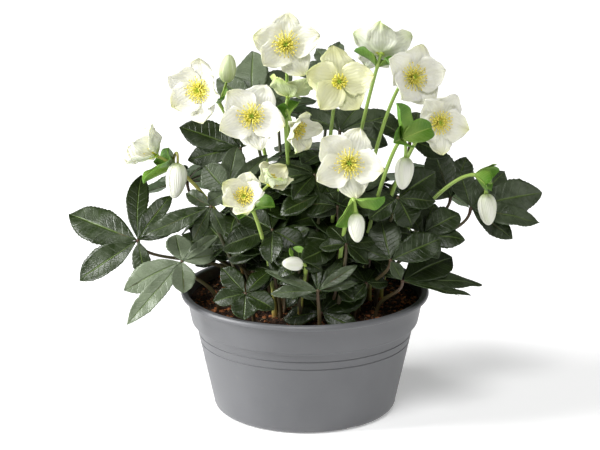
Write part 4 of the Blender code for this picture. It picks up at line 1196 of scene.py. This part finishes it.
for seed, (name, centre, axis, open_angle, size, turn, green, move) in enumerate(heads_to_grow):
    if open_angle == CLOSED:
        continue
    chance = random.Random(700 + seed)
    up, right = head_axes(axis)
    inner = bmesh.new()
    flush = inner.verts.layers.float.new("flush")
    middle = centre + axis * RECEPTACLE_LENGTH * size
    closing = math.cos(math.radians(open_angle)) ** 0.5
    for count, splay, length in STAMEN_RINGS[:2] if green > 0.7 else STAMEN_RINGS:
        for index in range(count):
            bearing = 2 * math.pi * (index + chance.uniform(-0.3, 0.3)) / count
            spoke = spoke_at(up, right, bearing)
            tilt = math.radians(splay * closing + chance.uniform(-6, 6))
            reach = length * size * chance.uniform(0.88, 1.08)
            foot = middle + spoke * STAMEN_CIRCLE * size
            tip = foot + (axis * math.cos(tilt) + spoke * math.sin(tilt)) * reach
            ends = (foot, foot + axis * reach * 0.4, tip - spoke * reach * 0.15, tip)
            curved_tube(inner, ends, FILAMENT_RADII, 3, right, 1, (0.0, 0.35, 0.7, 1.0))
            anther = bmesh.ops.create_icosphere(inner, subdivisions=1, radius=1.0)["verts"]
            along = (spoke * chance.uniform(-1, 1) + axis * chance.uniform(0.2, 1)
                     + up * chance.uniform(-0.5, 0.5)).normalized()
            cross = along.orthogonal().normalized()
            other = along.cross(cross)
            for corner in anther:
                local = corner.co.copy()
                corner.co = tip + (along * local.x * ANTHER_SIZE[0]
                                   + cross * local.y * ANTHER_SIZE[1]
                                   + other * local.z * ANTHER_SIZE[2])
    for index in range(NECTARY_COUNT):
        bearing = 2 * math.pi * (index + chance.uniform(-0.15, 0.15)) / NECTARY_COUNT
        spoke = spoke_at(up, right, bearing)
        foot = middle + spoke * NECTARY_CIRCLE * size - axis * 0.0006
        way = (axis * 0.62 + spoke * 0.78).normalized()
        line = [foot + way * NECTARY_LENGTH * size * share for share in (0.0, 0.3, 0.7, 1.0)]
        for ring in tube_rings(inner, line, [way] * 4, NECTARY_RADII, 6, right, 2):
            for corner in ring:
                corner[flush] = 0.9
    for index in range(CARPEL_COUNT):
        spoke = spoke_at(up, right, 2 * math.pi * index / CARPEL_COUNT + 0.4)
        foot = middle + spoke * 0.0006
        belly = foot + axis * CARPEL_BELLY * size + spoke * 0.0012
        tip = foot + axis * CARPEL_LENGTH * size + spoke * 0.0022
        ends = (foot, foot + axis * 0.003, belly + axis * 0.002, tip)
        curved_tube(inner, ends, CARPEL_RADII, 7, right, 2)
    line = [centre - axis * 0.0002 + axis * RECEPTACLE_LENGTH * size * share
            for share in (0.0, 0.35, 0.7, 1.0)]
    tube_rings(inner, line, [axis] * 4, [radius * size for radius in RECEPTACLE_RADII], 14,
               right, 2)
    for face in inner.faces:
        face.smooth = True
    inner.transform(move)
    middle_piece = object_from(inner, "stamens_" + name)
    wear(middle_piece, anther_pollen, filament_skin, carpel_skin)
    finish_piece(middle_piece, "stamens_" + name, "petal", name)

# ---- buds -----------------------------------------------------------------------------
# Buds not yet open: the five sepals are rolled round one another into an egg, each with one
# edge outside its neighbour and one inside, white with green where they meet the stalk.
BUD_RADIUS = 0.0081
for seed, (name, centre, axis, open_angle, size, turn, green, move) in enumerate(heads_to_grow):
    if open_angle != CLOSED:
        continue
    chance = random.Random(500 + seed)
    side, front = head_axes(axis)
    bud = bmesh.new()
    tint = bud.verts.layers.float.new("tint")
    for index in range(5):
        first = len(bud.verts)
        bud.from_mesh(sepal_sheet)
        bud.verts.ensure_lookup_table()
        loose = chance.uniform(-0.03, 0.09)
        reach = chance.uniform(0.97, 1.02)
        for corner in bud.verts[first:]:
            across, share = corner.co.x, (corner.co.y + 1) / 2
            polar = math.pi * (0.03 + 0.93 * share * reach)
            local = -math.cos(polar)
            ring = math.sin(polar) * (1.0 - 0.22 * local) * (1 + 0.07 * across + loose * share)
            ring *= 1 + 0.04 * noise.noise(Vector((across * 2.0, share * 3.0, index)))
            narrowing = 1.0 - 0.25 * share ** 3
            bearing = 2 * math.pi * index / 5 + math.radians(58 * across * narrowing + 34 * share)
            crease = 1 - 0.035 * math.exp(-(across / 0.12) ** 2) * math.sin(polar)
            around = spoke_at(side, front, bearing)
            corner.co = (centre + axis * (local + 1) * BUD_LENGTH * size / 2
                         + around * ring * BUD_RADIUS * size * crease)
            base = math.exp(-(share / 0.16) ** 2)
            corner[tint] = min(1.0, green + 0.75 * base + 0.15 * math.exp(-(across / 0.2) ** 2))
    finish_head(bud, name, move)

# ---- studio ---------------------------------------------------------------------------
# A plain pale floor under one soft key light from the left, a broad overhead light from the
# front and a weak fill from the right, and the camera.
CAMERA_PLACE = (-0.005, -2.50, 0.92)
CAMERA_PITCH = 16.3
CAMERA_LENS = 156.0
bpy.ops.object.select_all(action="DESELECT")
bpy.ops.mesh.primitive_plane_add(size=14.0, location=(0, 0, -0.0005))
floor = bpy.context.object
floor.name = "studio_floor"
white, tree, shader = new_material("studio_white", (0.92, 0.92, 0.92), 0.9)
feed(shader, {"Emission Color": (1, 1, 1, 1), "Emission Strength": 0.30})
wear(floor, white)

world = bpy.data.worlds.new("studio")
bpy.context.scene.world = world
world.use_nodes = True
feed(world.node_tree.nodes["Background"], {"Color": (1, 1, 1, 1), "Strength": 0.09})


def add_light(name, kind, power, place, aim, **settings):
    light = bpy.data.lights.new(name, kind)
    light.energy = power
    for key, value in settings.items():
        setattr(light, key, value)
    lamp = bpy.data.objects.new(name, light)
    lamp.location = place
    lamp.rotation_euler = (Vector(aim) - Vector(place)).to_track_quat("-Z", "Y").to_euler()
    bpy.context.collection.objects.link(lamp)


add_light("key", "AREA", 146, (-2.6, -0.45, 1.35), (0, 0, 0.16), shape="RECTANGLE", size=1.3,
          size_y=1.3)
add_light("front_overhead", "SUN", 1.85, (-0.08, -0.55, 0.83), (0, 0, 0), angle=math.radians(24))
add_light("fill", "AREA", 16, (2.6, -0.9, 1.0), (0, 0, 0.16), shape="RECTANGLE", size=1.8,
          size_y=1.8)

camera_data = bpy.data.cameras.new("camera")
camera_data.sensor_width = 36.0
camera_data.lens = CAMERA_LENS
camera = bpy.data.objects.new("camera", camera_data)
camera.location = CAMERA_PLACE
camera.rotation_euler = (math.radians(90 - CAMERA_PITCH), 0, 0)
bpy.context.collection.objects.link(camera)
bpy.context.scene.camera = camera
bpy.context.scene.view_settings.view_transform = "Standard"
